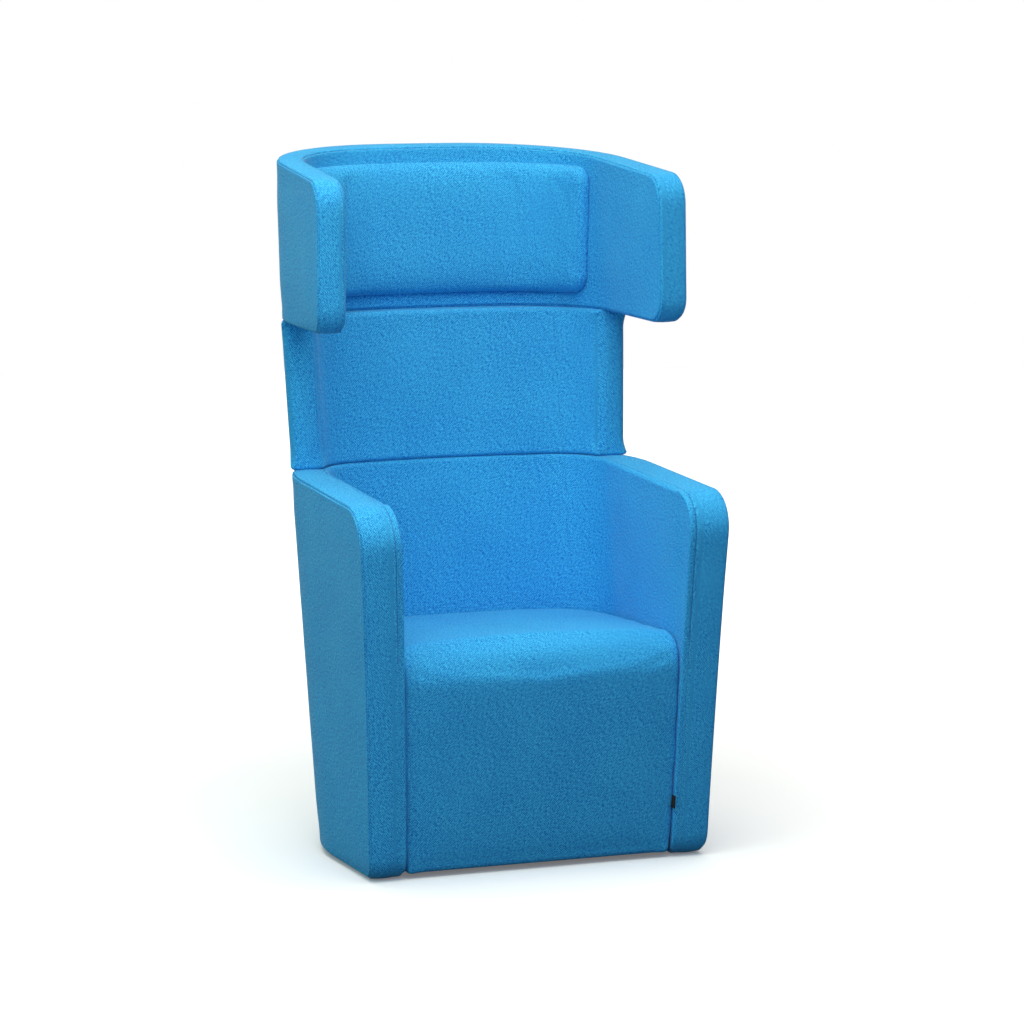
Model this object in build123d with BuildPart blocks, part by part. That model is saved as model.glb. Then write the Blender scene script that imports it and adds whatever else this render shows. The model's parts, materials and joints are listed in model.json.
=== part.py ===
from build123d import *
from dataclasses import dataclass
from math import cos, radians, sin, sqrt, tan
import os

# Acoustic high back lounge chair, millimetres.
# Origin: on the floor, in the middle of the chair's plan. The sitter faces -Y, +X is on the sitter's left.

# Shared plan outline, which widens and leans back evenly from the floor up
FORM_HEIGHT = 1450.0
FORM_SPAN = (0.0, FORM_HEIGHT)
FRONT_Y = -372.0
HALF_WIDTH = 341.0
SIDE_SPLAY = 1.95
FLOOR_TOE = -4.2
CROWN_TOE = 2.9
BACK_Y = 163.0
BACK_RECLINE = 10.7
BACK_RADIUS = 1370.0
CORNER_RADIUS = 300.0

# Clearances and cloth
CLOTH = 2.0
FIT_GAP = 0.3
SEAT_GAP = 1.5
REACH = 700.0
EDGE_SEARCH = 1.0

# Tub: the arms and the lower back
TUB_BOTTOM = 12.0
ARM_HEIGHT = 730.0
ARM_THICKNESS = 71.0
BACK_THICKNESS = 117.0
INNER_CORNER = 129.0
ARM_LEAN = 4.0
ARM_TOP_RADIUS = 78.0
ARM_TOE_RADIUS = 40.0
CORNER_WRAP = 13.0
ARM_SPLIT_Y = -72.0
SEAM_X = 236.0

# Middle back section, its ends stand above the arms
MID_HEIGHT = 296.0
MID_END_Y = 107.0
MID_END_LEAN = 5.0
MID_END_RADIUS = 26.0

# Hood, with wings that reach forward beside the head
HOOD_FRONT_HEIGHT = 284.0
HOOD_TOP_SLOPE = 4.6
HOOD_FRONT_Y = -196.0
HOOD_LEAN = -1.15
HOOD_SIDE = 58.0
HOOD_BACK = 62.0
HOOD_CORNER = 210.0
WING_TOP_RADIUS = 60.0
WING_TOE_RADIUS = 46.0

# Head pad on the hood's inner face
PAD_THICKNESS = 30.0
PAD_BOTTOM = 1058.0
PAD_HEIGHT = 264.0
PAD_END_Y = 148.0
PAD_CORNER = 30.0
PAD_BOARD = 4.0
PAD_BOARD_EDGE = 14.0
PAD_STUD_X = 120.0
PAD_STUD_RADIUS = 4.0
PAD_STUD_DEPTH = 16.0
PAD_STUD_RISE = 40.0

# Seat between the arms, one padded block that runs down over the front
SEAT_HEIGHT = 455.0
SEAT_RAKE = 3.7
SEAT_CROWN = 4.0
SEAT_SETBACK = 5.0
SEAT_NOSE_RADIUS = 62.0
SEAT_CUSHION = 117.0
FASCIA_FOAM = 20.0
SEAT_REAR_Y = 5.0

# Plywood and rails
BOARD = 15.0
BASE_BOARD = 18.0
CURVED_PLY = 12.0
OUTER_FOAM = 12.0
PLY_EDGE = 28.0

# Seat suspension
STRAP_WIDTH = 50.0
STRAP_THICKNESS = 2.0
STRAP_COUNT = 5
STRAP_PITCH = 82.0

# Steel uprights that tie tub, middle and hood together
UPRIGHT_X = 88.0
UPRIGHT_WIDTH = 30.0
UPRIGHT_DEPTH = 20.0
UPRIGHT_WALL = 2.0
UPRIGHT_TOP_MARGIN = 70.0
UPRIGHT_PLATE_WIDTH = 70.0
UPRIGHT_PLATE_DEPTH = 50.0
UPRIGHT_PLATE = 4.0
SCREW_RADIUS = 3.0
SCREW_HEAD_RADIUS = 6.0
SCREW_HEAD = 4.0
SCREW_CLEARANCE = 0.2
SCREW_ROOM = 6.0
SCREW_MARGIN = 55.0

# Levelling glides
GLIDE_FRONT = (205.0, -290.0)
GLIDE_REAR = (170.0, 92.0)
PAD_DISC_RADIUS = 20.0
PAD_DISC = 6.0
PAD_DISC_CHAMFER = 1.5
STUD_RADIUS = 4.0
STUD_SEAT = 3.5
STUD_FIT = 0.08
STUD_HEX = 13.0
INSERT_FLANGE_RADIUS = 11.0
INSERT_FLANGE = 2.5
INSERT_WALL = 2.0
INSERT_DEPTH = 15.5

# Folded cloth tag in the seam beside the seat
TAG_HEIGHT = 25.0
TAG_Z = 100.0
TAG_TAIL = 15.0
TAG_PROUD = 8.0
TAG_THICKNESS = 1.0

BASE_BOTTOM = TUB_BOTTOM + CLOTH + FIT_GAP
BASE_TOP = BASE_BOTTOM + BASE_BOARD
TUB_TOP = ARM_HEIGHT
MID_BOTTOM = TUB_TOP + FIT_GAP
MID_TOP = MID_BOTTOM + MID_HEIGHT
MID_MIDDLE = (MID_BOTTOM + MID_TOP) / 2
MID_SPAN = (MID_BOTTOM, MID_TOP)
HOOD_BOTTOM = MID_TOP + FIT_GAP
SEAT_UNDERSIDE = SEAT_HEIGHT - SEAT_CUSHION
SEAT_BOX_TOP = SEAT_UNDERSIDE - STRAP_THICKNESS
PLY_INSET = CLOTH + FIT_GAP + OUTER_FOAM
PLY_INNER = PLY_INSET + CURVED_PLY
FASCIA_BACK_Y = FRONT_Y + SEAT_SETBACK + CLOTH + FIT_GAP + FASCIA_FOAM + FIT_GAP
RECLINE = tan(radians(BACK_RECLINE))


@dataclass
class Wall:
    """A padded wall that runs round the sitter and is open to the front."""

    side: float
    back: float
    inner_corner: float
    bottom: float
    front_height: float
    front_y: float
    lean: float
    top_radius: float
    toe_radius: float
    top_slope: float


TUB = Wall(
    side=ARM_THICKNESS,
    back=BACK_THICKNESS,
    inner_corner=INNER_CORNER,
    bottom=TUB_BOTTOM,
    front_height=ARM_HEIGHT - TUB_BOTTOM,
    front_y=FRONT_Y,
    lean=ARM_LEAN,
    top_radius=ARM_TOP_RADIUS,
    toe_radius=ARM_TOE_RADIUS,
    top_slope=0.0,
)
HOOD = Wall(
    side=HOOD_SIDE,
    back=HOOD_BACK,
    inner_corner=HOOD_CORNER,
    bottom=HOOD_BOTTOM,
    front_height=HOOD_FRONT_HEIGHT,
    front_y=HOOD_FRONT_Y,
    lean=HOOD_LEAN,
    top_radius=WING_TOP_RADIUS,
    toe_radius=WING_TOE_RADIUS,
    top_slope=HOOD_TOP_SLOPE,
)


@dataclass
class Track:
    """One plan curve, set in from the shared outline."""

    side: float
    back: float
    corner: float


def parallel(inset):
    """The plan curve that runs inside the shared outline at an even distance."""
    return Track(inset, inset, CORNER_RADIUS - inset)


def inner_face(wall, inset):
    """The plan curve of a wall's face towards the sitter, moved into the wall by inset."""
    return Track(wall.side - inset, wall.back - inset, wall.inner_corner + inset)


def plan_points(height, track):
    """Right half of a plan curve: front end, side end, corner middle, corner end, back middle."""
    half_width = HALF_WIDTH + tan(radians(SIDE_SPLAY)) * height
    share = height / FORM_HEIGHT
    toe = radians(FLOOR_TOE + (CROWN_TOE - FLOOR_TOE) * share)
    along = Vector(-sin(toe), cos(toe))
    inward = Vector(-cos(toe), -sin(toe))
    start = Vector(half_width, FRONT_Y) + inward * track.side
    back_y = BACK_Y + RECLINE * height - track.back
    radius = BACK_RADIUS - track.back
    centre = Vector(0, back_y - radius)
    offset = start + inward * track.corner - centre
    reach = offset.dot(along)
    corner_orbit = radius - track.corner
    travel = sqrt(reach * reach - offset.dot(offset) + corner_orbit * corner_orbit) - reach
    corner = start + inward * track.corner + along * travel
    outward = (corner - centre).normalized()
    bisector = (outward - inward).normalized()
    front = start - along * ((start.Y + REACH) / along.Y)
    return (
        front,
        corner - inward * track.corner,
        corner + bisector * track.corner,
        corner + outward * track.corner,
        Vector(0, back_y),
    )


def mirrored(point):
    return Vector(-point.X, point.Y)


def draw_track(points):
    """The whole plan curve, from the right front end round the back to the left one."""
    front, side_end, corner_mid, corner_end, back_mid = points
    Line(front, side_end)
    ThreePointArc(side_end, corner_mid, corner_end)
    ThreePointArc(corner_end, back_mid, mirrored(corner_end))
    ThreePointArc(mirrored(corner_end), mirrored(corner_mid), mirrored(side_end))
    Line(mirrored(side_end), mirrored(front))


def ring_section(height, outer, inner, end=None):
    """Plan section between two tracks, open-ended in front or with rounded ends."""
    outer_points = plan_points(height, outer)
    inner_points = plan_points(height, inner)
    with BuildSketch(Plane.XY.offset(height)) as section:
        with BuildLine():
            draw_track(outer_points)
            draw_track(inner_points)
            Line(outer_points[0], inner_points[0])
            Line(mirrored(outer_points[0]), mirrored(inner_points[0]))
        make_face()
        if end:
            end_y, end_lean, end_radius = end
            end_y += tan(radians(end_lean)) * (height - MID_MIDDLE)
            with Locations((0, end_y)):
                Rectangle(2 * REACH, 2 * REACH, align=(Align.CENTER, Align.MIN), mode=Mode.INTERSECT)
            fillet(section.vertices().group_by(Axis.Y)[0], end_radius)
    return section.sketch


def disc_section(height, track):
    """Plan section of everything inside one track, cut straight across in front."""
    points = plan_points(height, track)
    with BuildSketch(Plane.XY.offset(height)) as section:
        with BuildLine():
            draw_track(points)
            Line(points[0], mirrored(points[0]))
        make_face()
    return section.sketch


def ring(outer, inner, span=FORM_SPAN, end=None):
    """The layer between two tracks over a span of heights."""
    with BuildPart() as layer:
        loft([ring_section(height, outer, inner, end) for height in span], ruled=True)
    return layer.part


def disc(track):
    """The full-height body inside one track."""
    with BuildPart() as body:
        loft([disc_section(height, track) for height in FORM_SPAN], ruled=True)
    return body.part


def side_profile(wall, inset):
    """A wall's outline seen from the side, as a prism right across the chair."""
    lean = tan(radians(wall.lean))
    rise = tan(radians(wall.top_slope))
    low = wall.bottom + inset
    high = wall.bottom + wall.front_height - inset
    low_front = wall.front_y - lean * low + inset
    high_front = wall.front_y - lean * high + inset
    with BuildPart() as prism:
        with BuildSketch(Plane.YZ) as outline:
            with BuildLine():
                Polyline(
                    (low_front, low),
                    (high_front, high),
                    (REACH, high + rise * (REACH - high_front)),
                    (REACH, low),
                    close=True,
                )
            make_face()
            for corner, radius in (
                ((low_front, low), wall.toe_radius),
                ((high_front, high), wall.top_radius),
            ):
                fillet(outline.vertices().sort_by_distance(corner)[0], radius - inset)
        extrude(amount=REACH, both=True)
    return prism.part


def wall_body(wall, inset):
    """A whole wall, shrunk evenly by inset."""
    with BuildPart() as body:
        add(ring(parallel(inset), inner_face(wall, inset)))
        add(side_profile(wall, inset), mode=Mode.INTERSECT)
    return body.part


def mid_body(inset):
    """The middle section, shrunk evenly by inset."""
    end = (MID_END_Y + inset, MID_END_LEAN, MID_END_RADIUS - inset)
    with BuildPart() as body:
        add(ring(parallel(inset), inner_face(TUB, inset), MID_SPAN, end))
        add(level_block(MID_BOTTOM + inset, MID_TOP - inset), mode=Mode.INTERSECT)
    return body.part


def pad_track(depth):
    """Plan curve inside the head pad, depth counted from the pad's back face."""
    offset = HOOD_SIDE + FIT_GAP + depth
    back = HOOD_BACK + FIT_GAP + depth
    return Track(offset, back, HOOD_CORNER - FIT_GAP - depth)


def pad_body(inset):
    """The head pad, shrunk evenly by inset."""
    with BuildPart() as body:
        add(ring(pad_track(inset), pad_track(PAD_THICKNESS - inset)))
        add(pad_profile(inset), mode=Mode.INTERSECT)
    return body.part


def pad_profile(inset):
    """The head pad's outline seen from the side, as a prism across the chair."""
    low = PAD_BOTTOM + inset
    high = PAD_BOTTOM + PAD_HEIGHT - inset
    with BuildPart() as prism:
        with BuildSketch(Plane.YZ) as outline:
            with BuildLine():
                Polyline(
                    (PAD_END_Y + inset, low),
                    (PAD_END_Y + inset, high),
                    (REACH, high),
                    (REACH, low),
                    close=True,
                )
            make_face()
            fillet(outline.vertices().group_by(Axis.X)[0], PAD_CORNER - inset)
        extrude(amount=REACH, both=True)
    return prism.part


def level_block(low, high):
    """Everything between two heights."""
    with BuildPart() as block:
        with Locations((0, 0, low)):
            Box(2 * REACH, 2 * REACH, high - low, align=(Align.CENTER, Align.CENTER, Align.MIN))
    return block.part


def depth_block(front, rear):
    """Everything between two planes across the chair."""
    with BuildPart() as block:
        with Locations((0, front, 0)):
            Box(2 * REACH, rear - front, 4 * REACH, align=(Align.CENTER, Align.MIN, Align.CENTER))
    return block.part


def width_block(left, right):
    """Everything between two planes along the chair."""
    with BuildPart() as block:
        with Locations((left, 0, 0)):
            Box(right - left, 2 * REACH, 4 * REACH, align=(Align.MIN, Align.CENTER, Align.CENTER))
    return block.part


def seat_body(inset):
    """The seat block: top crowned and raked back, rounded nose, front that leans with the arms."""
    lean = tan(radians(ARM_LEAN))
    low = TUB_BOTTOM + inset
    high = SEAT_HEIGHT - inset
    front = FRONT_Y + SEAT_SETBACK + inset
    half = HALF_WIDTH - ARM_THICKNESS
    rake = radians(SEAT_RAKE)
    raked = Plane(origin=(0, front - lean * high, high), x_dir=(1, 0, 0), z_dir=(0, -cos(rake), sin(rake)))
    with BuildPart() as body:
        add(disc(box_track(inset)))
        with BuildSketch(Plane.YZ):
            with BuildLine():
                Polyline(
                    (front - lean * low, low),
                    (front - lean * REACH, REACH),
                    (REACH, REACH),
                    (REACH, low),
                    close=True,
                )
            make_face()
        extrude(amount=REACH, both=True, mode=Mode.INTERSECT)
        with BuildSketch(raked):
            with BuildLine():
                ThreePointArc((-half, -SEAT_CROWN), (0, 0), (half, -SEAT_CROWN))
                Polyline(
                    (half, -SEAT_CROWN),
                    (REACH, -SEAT_CROWN),
                    (REACH, -REACH),
                    (-REACH, -REACH),
                    (-REACH, -SEAT_CROWN),
                    (-half, -SEAT_CROWN),
                )
            make_face()
        extrude(amount=2 * REACH, both=True, mode=Mode.INTERSECT)
        nose = body.edges().filter_by_position(
            Axis.Z, high - SEAT_CROWN - EDGE_SEARCH, high + EDGE_SEARCH
        )
        fillet(nose.sort_by(Axis.Y)[0], SEAT_NOSE_RADIUS - inset)
    return body.part


def box_track(inset):
    """Plan curve of the seat's plywood box, its outer face or moved in by inset."""
    offset = SEAT_GAP + inset
    return Track(ARM_THICKNESS + offset, BACK_THICKNESS + offset, INNER_CORNER - offset)


def seat_cavity(grow):
    """The hollow under the seat and behind the front panel."""
    with BuildPart() as hollow:
        add(level_block(-REACH, SEAT_UNDERSIDE + grow))
        add(depth_block(FASCIA_BACK_Y - FIT_GAP - grow, REACH), mode=Mode.INTERSECT)
    return hollow.part


def base_body(grow):
    """The base board: the whole footprint, cut back in front for the seat's front panel."""
    with BuildPart() as body:
        add(disc(parallel(CLOTH + FIT_GAP - grow)))
        add(side_profile(TUB, CLOTH + FIT_GAP - grow), mode=Mode.INTERSECT)
        add(level_block(BASE_BOTTOM - grow, BASE_TOP + grow), mode=Mode.INTERSECT)
        add(base_notch(grow), mode=Mode.SUBTRACT)
    return body.part


def base_notch(grow):
    """Room for the seat's front panel between the arms."""
    with BuildPart() as notch:
        add(disc(Track(ARM_THICKNESS - CLOTH + grow, BACK_THICKNESS, INNER_CORNER)))
        add(depth_block(-REACH, FASCIA_BACK_Y - grow), mode=Mode.INTERSECT)
    return notch.part


def back_line(height, x, inset):
    """Y of the back at one height and place across, inset from the outer face."""
    _, _, _, corner_end, back_mid = plan_points(height, parallel(inset))
    radius = BACK_RADIUS - inset
    if abs(x) <= corner_end.X:
        return back_mid.Y - radius + sqrt(radius * radius - x * x)
    bend = CORNER_RADIUS - inset
    centre = corner_end + (Vector(0, back_mid.Y - radius) - corner_end) * (bend / radius)
    return centre.Y + sqrt(bend * bend - (abs(x) - centre.X) ** 2)


def upright_body(side, grow, front_room=0.0, rear_room=0.0):
    """One upright's envelope, which leans with the back, with more room in front and behind."""
    edge_x = UPRIGHT_X + UPRIGHT_WIDTH / 2
    start = BASE_TOP + UPRIGHT_PLATE
    rear_y = back_line(start, edge_x, PLY_INNER) - FIT_GAP + grow + rear_room
    depth = UPRIGHT_DEPTH + 2 * grow + front_room + rear_room
    top = HOOD_BOTTOM + HOOD_FRONT_HEIGHT - UPRIGHT_TOP_MARGIN + grow
    length = (top - start) / cos(radians(BACK_RECLINE))
    lean = (0, sin(radians(BACK_RECLINE)), cos(radians(BACK_RECLINE)))
    with BuildPart() as body:
        with BuildSketch(Plane.XY.offset(start)):
            with Locations((side * UPRIGHT_X, rear_y - depth / 2)):
                Rectangle(UPRIGHT_WIDTH + 2 * grow, depth)
        extrude(amount=length, dir=lean)
    return body.part


def plate_body(side, grow):
    """The plate welded under an upright."""
    edge_x = UPRIGHT_X + UPRIGHT_PLATE_WIDTH / 2
    rear_y = back_line(BASE_TOP + UPRIGHT_PLATE, edge_x, PLY_INNER) - FIT_GAP
    with BuildPart() as body:
        with Locations((side * UPRIGHT_X, rear_y - UPRIGHT_PLATE_DEPTH / 2, BASE_TOP - grow)):
            Box(
                UPRIGHT_PLATE_WIDTH + 2 * grow,
                UPRIGHT_PLATE_DEPTH + 2 * grow,
                UPRIGHT_PLATE + 2 * grow,
                align=(Align.CENTER, Align.CENTER, Align.MIN),
            )
    return body.part


def screw_heights():
    """Two screw heights in each section, near its lower and upper edge."""
    spans = (
        (BASE_TOP, TUB_TOP),
        (MID_BOTTOM, MID_TOP),
        (HOOD_BOTTOM, HOOD_BOTTOM + HOOD_FRONT_HEIGHT - UPRIGHT_TOP_MARGIN),
    )
    return [z for low, high in spans for z in (low + SCREW_MARGIN, high - SCREW_MARGIN)]


def screw_planes():
    """Front face of the upright at each screw, facing into the chair's back."""
    normal = (0, cos(radians(BACK_RECLINE)), -sin(radians(BACK_RECLINE)))
    edge_x = UPRIGHT_X + UPRIGHT_WIDTH / 2
    start = BASE_TOP + UPRIGHT_PLATE
    front = back_line(start, edge_x, PLY_INNER) - FIT_GAP - UPRIGHT_DEPTH
    return [
        Plane(origin=(side * UPRIGHT_X, front + RECLINE * (z - start), z), z_dir=normal)
        for side in (-1, 1)
        for z in screw_heights()
    ]


def rod(plane, radius, length):
    """A round rod that starts on a plane and runs along its normal."""
    with BuildPart() as body:
        with BuildSketch(plane):
            Circle(radius)
        extrude(amount=length)
    return body.part


def screw_holes():
    """The screws' clearance holes, through upright and plywood."""
    depth = UPRIGHT_DEPTH + CURVED_PLY + FIT_GAP
    with BuildPart() as holes:
        for plane in screw_planes():
            add(rod(plane, SCREW_RADIUS + SCREW_CLEARANCE, depth + OUTER_FOAM / 2))
    return holes.part


def glide_places():
    return [
        ("front_left", -GLIDE_FRONT[0], GLIDE_FRONT[1]),
        ("front_right", GLIDE_FRONT[0], GLIDE_FRONT[1]),
        ("rear_left", -GLIDE_REAR[0], GLIDE_REAR[1]),
        ("rear_right", GLIDE_REAR[0], GLIDE_REAR[1]),
    ]


def glide_wells(radius, low, high):
    """Round wells over the four glides."""
    with BuildPart() as wells:
        for _, x, y in glide_places():
            add(rod(Plane(origin=(x, y, low)), radius, high - low))
    return wells.part


def pad_stud_bodies(grow):
    """The pad's push-in studs, from inside its board back into the hood's foam."""
    low = PAD_BOTTOM + PAD_STUD_RISE
    high = PAD_BOTTOM + PAD_HEIGHT - PAD_STUD_RISE
    inset = HOOD_BACK + FIT_GAP + CLOTH + FIT_GAP
    with BuildPart() as studs:
        for x in (-PAD_STUD_X, PAD_STUD_X):
            for z in (low, high):
                start = back_line(z, x, inset) - PAD_BOARD / 2 - grow
                plane = Plane(origin=(x, start, z), x_dir=(1, 0, 0), z_dir=(0, 1, 0))
                add(rod(plane, PAD_STUD_RADIUS + grow, PAD_STUD_DEPTH + 2 * grow))
    return studs.part


def keep(part, name):
    """Label a piece and write it to its own file."""
    part.label = name
    export_step(part, f"parts/{name}.step")


os.makedirs("parts", exist_ok=True)

RIGHT_HALF = width_block(0, REACH)
ARM_ZONE = depth_block(-REACH, ARM_SPLIT_Y)
BACK_ZONE = depth_block(ARM_SPLIT_Y + FIT_GAP, REACH)
LINING = CLOTH + FIT_GAP

# Base board with its threaded inserts
base_room = base_body(FIT_GAP)
insert_radius = STUD_RADIUS + STUD_FIT + INSERT_WALL
with BuildPart() as base_board:
    add(base_body(0))
    add(
        glide_wells(insert_radius + FIT_GAP, BASE_BOTTOM, BASE_BOTTOM + INSERT_DEPTH),
        mode=Mode.SUBTRACT,
    )
keep(base_board.part, "base_board")

for glide, x, y in glide_places():
    flange_bottom = BASE_BOTTOM - INSERT_FLANGE
    with BuildPart() as insert:
        with BuildSketch(Plane(origin=(x, y, flange_bottom))):
            Circle(INSERT_FLANGE_RADIUS)
        extrude(amount=INSERT_FLANGE)
        with BuildSketch(Plane(origin=(x, y, BASE_BOTTOM))):
            Circle(insert_radius)
        extrude(amount=INSERT_DEPTH - FIT_GAP)
        with BuildSketch(Plane(origin=(x, y, flange_bottom))):
            Circle(STUD_RADIUS + STUD_FIT)
        extrude(amount=INSERT_FLANGE + INSERT_DEPTH, mode=Mode.SUBTRACT)
    keep(insert.part, f"glide_insert_{glide}")

    with BuildPart() as glide_pad:
        with BuildSketch(Plane(origin=(x, y, 0))):
            Circle(PAD_DISC_RADIUS)
        extrude(amount=PAD_DISC)
        chamfer(glide_pad.edges().group_by(Axis.Z)[-1], PAD_DISC_CHAMFER)
        with BuildSketch(Plane(origin=(x, y, PAD_DISC - STUD_SEAT))):
            Circle(STUD_RADIUS + STUD_FIT)
        extrude(amount=STUD_SEAT, mode=Mode.SUBTRACT)
    keep(glide_pad.part, f"glide_pad_{glide}")

    stud_bottom = PAD_DISC - STUD_SEAT + FIT_GAP
    stud_top = BASE_BOTTOM + INSERT_DEPTH - FIT_GAP
    with BuildPart() as stud:
        with BuildSketch(Plane(origin=(x, y, stud_bottom))):
            Circle(STUD_RADIUS)
        extrude(amount=stud_top - stud_bottom)
        with BuildSketch(Plane(origin=(x, y, PAD_DISC + FIT_GAP))):
            RegularPolygon(STUD_HEX / 2, 6, major_radius=False)
        extrude(amount=flange_bottom - PAD_DISC - 2 * FIT_GAP)
    keep(stud.part, f"glide_stud_{glide}")

flange_room = glide_wells(INSERT_FLANGE_RADIUS + FIT_GAP, 0, BASE_BOTTOM)

# Tub: plywood inside, foam round it, cloth over the foam
arm_ply_layer = ring(parallel(PLY_INSET), parallel(PLY_INSET + BOARD))
arm_ply_room = ring(parallel(PLY_INSET - FIT_GAP), parallel(PLY_INSET + BOARD + FIT_GAP))
with BuildPart() as arm_board:
    add(arm_ply_layer)
    add(side_profile(TUB, PLY_EDGE), mode=Mode.INTERSECT)
    add(level_block(BASE_TOP, TUB_TOP), mode=Mode.INTERSECT)
    add(ARM_ZONE, mode=Mode.INTERSECT)
    add(RIGHT_HALF, mode=Mode.INTERSECT)
keep(arm_board.part, "arm_board_right")
keep(mirror(arm_board.part, about=Plane.YZ), "arm_board_left")

curved_layer = ring(parallel(PLY_INSET), parallel(PLY_INNER))
curved_room = ring(parallel(PLY_INSET - FIT_GAP), parallel(PLY_INNER + FIT_GAP))
holes = screw_holes()
with BuildPart() as back_board:
    add(curved_layer)
    add(level_block(BASE_TOP, TUB_TOP - PLY_EDGE), mode=Mode.INTERSECT)
    add(BACK_ZONE, mode=Mode.INTERSECT)
    add(holes, mode=Mode.SUBTRACT)
keep(back_board.part, "back_board")

with BuildPart() as upright_room:
    for side in (-1, 1):
        add(upright_body(side, FIT_GAP, SCREW_ROOM, CURVED_PLY / 2))
        add(plate_body(side, FIT_GAP))
for name, side in (("left", -1), ("right", 1)):
    with BuildPart() as upright:
        add(upright_body(side, 0))
        add(upright_body(side, -UPRIGHT_WALL), mode=Mode.SUBTRACT)
        add(holes, mode=Mode.SUBTRACT)
        add(plate_body(side, 0))
    keep(upright.part, f"upright_{name}")

with BuildPart() as upright_screws:
    for plane in screw_planes():
        add(rod(plane.offset(-SCREW_HEAD), SCREW_HEAD_RADIUS, SCREW_HEAD))
        add(rod(plane, SCREW_RADIUS, UPRIGHT_DEPTH + CURVED_PLY))
keep(upright_screws.part, "upright_screws")

with BuildPart() as arm_slot:
    add(arm_ply_room)
    add(side_profile(TUB, PLY_EDGE - FIT_GAP), mode=Mode.INTERSECT)
with BuildPart() as arm_foam:
    add(wall_body(TUB, LINING))
    add(ARM_ZONE, mode=Mode.INTERSECT)
    add(RIGHT_HALF, mode=Mode.INTERSECT)
    add(arm_slot.part, mode=Mode.SUBTRACT)
    add(base_room, mode=Mode.SUBTRACT)
keep(arm_foam.part, "arm_foam_right")
keep(mirror(arm_foam.part, about=Plane.YZ), "arm_foam_left")

with BuildPart() as back_slot:
    add(curved_room)
    add(level_block(BASE_TOP - FIT_GAP, TUB_TOP - PLY_EDGE + FIT_GAP), mode=Mode.INTERSECT)
with BuildPart() as back_foam:
    add(wall_body(TUB, LINING))
    add(BACK_ZONE, mode=Mode.INTERSECT)
    add(back_slot.part, mode=Mode.SUBTRACT)
    add(base_room, mode=Mode.SUBTRACT)
    add(upright_room.part, mode=Mode.SUBTRACT)
keep(back_foam.part, "back_foam")

with BuildPart() as tub_skin:
    add(wall_body(TUB, 0))
    add(wall_body(TUB, CLOTH), mode=Mode.SUBTRACT)
    add(base_room, mode=Mode.SUBTRACT)
    add(upright_room.part, mode=Mode.SUBTRACT)
    add(flange_room, mode=Mode.SUBTRACT)
with BuildPart() as tub_outer_cover:
    add(ring(parallel(0), parallel(CLOTH)))
    add(side_profile(TUB, 0), mode=Mode.INTERSECT)
keep(tub_outer_cover.part, "tub_outer_cover")
with BuildPart() as tub_band:
    add(tub_skin.part)
    add(ring(parallel(LINING), inner_face(TUB, CORNER_WRAP + FIT_GAP)), mode=Mode.INTERSECT)
keep(tub_band.part, "tub_band")
with BuildPart() as tub_lining:
    add(tub_skin.part)
    add(ring(inner_face(TUB, CORNER_WRAP), inner_face(TUB, -CLOTH)), mode=Mode.INTERSECT)
with BuildPart() as tub_back_panel:
    add(tub_lining.part)
    add(level_block(BASE_TOP, TUB_TOP), mode=Mode.INTERSECT)
    add(width_block(FIT_GAP - SEAM_X, SEAM_X - FIT_GAP), mode=Mode.INTERSECT)
keep(tub_back_panel.part, "tub_back_panel")
with BuildPart() as arm_panel:
    add(tub_lining.part)
    add(width_block(SEAM_X, REACH), mode=Mode.INTERSECT)
keep(arm_panel.part, "arm_panel_right")
keep(mirror(arm_panel.part, about=Plane.YZ), "arm_panel_left")

with BuildPart() as dust_cover:
    add(disc(inner_face(TUB, -FIT_GAP)))
    add(level_block(TUB_BOTTOM, TUB_BOTTOM + CLOTH), mode=Mode.INTERSECT)
    add(depth_block(FASCIA_BACK_Y, REACH), mode=Mode.INTERSECT)
    add(flange_room, mode=Mode.SUBTRACT)
keep(dust_cover.part, "dust_cover")

# Seat: a plywood box with straps across it, foam on top and down the front, one cloth cover
with BuildPart() as seat_box:
    add(ring(box_track(0), box_track(BOARD)))
    add(level_block(BASE_TOP, SEAT_BOX_TOP), mode=Mode.INTERSECT)
    add(depth_block(FASCIA_BACK_Y + BOARD, SEAT_REAR_Y), mode=Mode.INTERSECT)
with BuildPart() as seat_side_board:
    add(seat_box.part)
    add(RIGHT_HALF, mode=Mode.INTERSECT)
keep(seat_side_board.part, "seat_side_board_right")
keep(mirror(seat_side_board.part, about=Plane.YZ), "seat_side_board_left")
for name, front in (("seat_front_board", FASCIA_BACK_Y), ("seat_rear_board", SEAT_REAR_Y)):
    with BuildPart() as cross_board:
        add(disc(box_track(0)))
        add(level_block(BASE_TOP, SEAT_BOX_TOP), mode=Mode.INTERSECT)
        add(depth_block(front, front + BOARD), mode=Mode.INTERSECT)
    keep(cross_board.part, name)

with BuildPart() as seat_straps:
    strap_length = SEAT_REAR_Y + BOARD - FASCIA_BACK_Y
    with BuildSketch(Plane.XY.offset(SEAT_BOX_TOP)):
        with Locations((0, FASCIA_BACK_Y + strap_length / 2)):
            with GridLocations(STRAP_PITCH, 1, STRAP_COUNT, 1):
                Rectangle(STRAP_WIDTH, strap_length)
    extrude(amount=STRAP_THICKNESS)
keep(seat_straps.part, "seat_straps")

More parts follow.
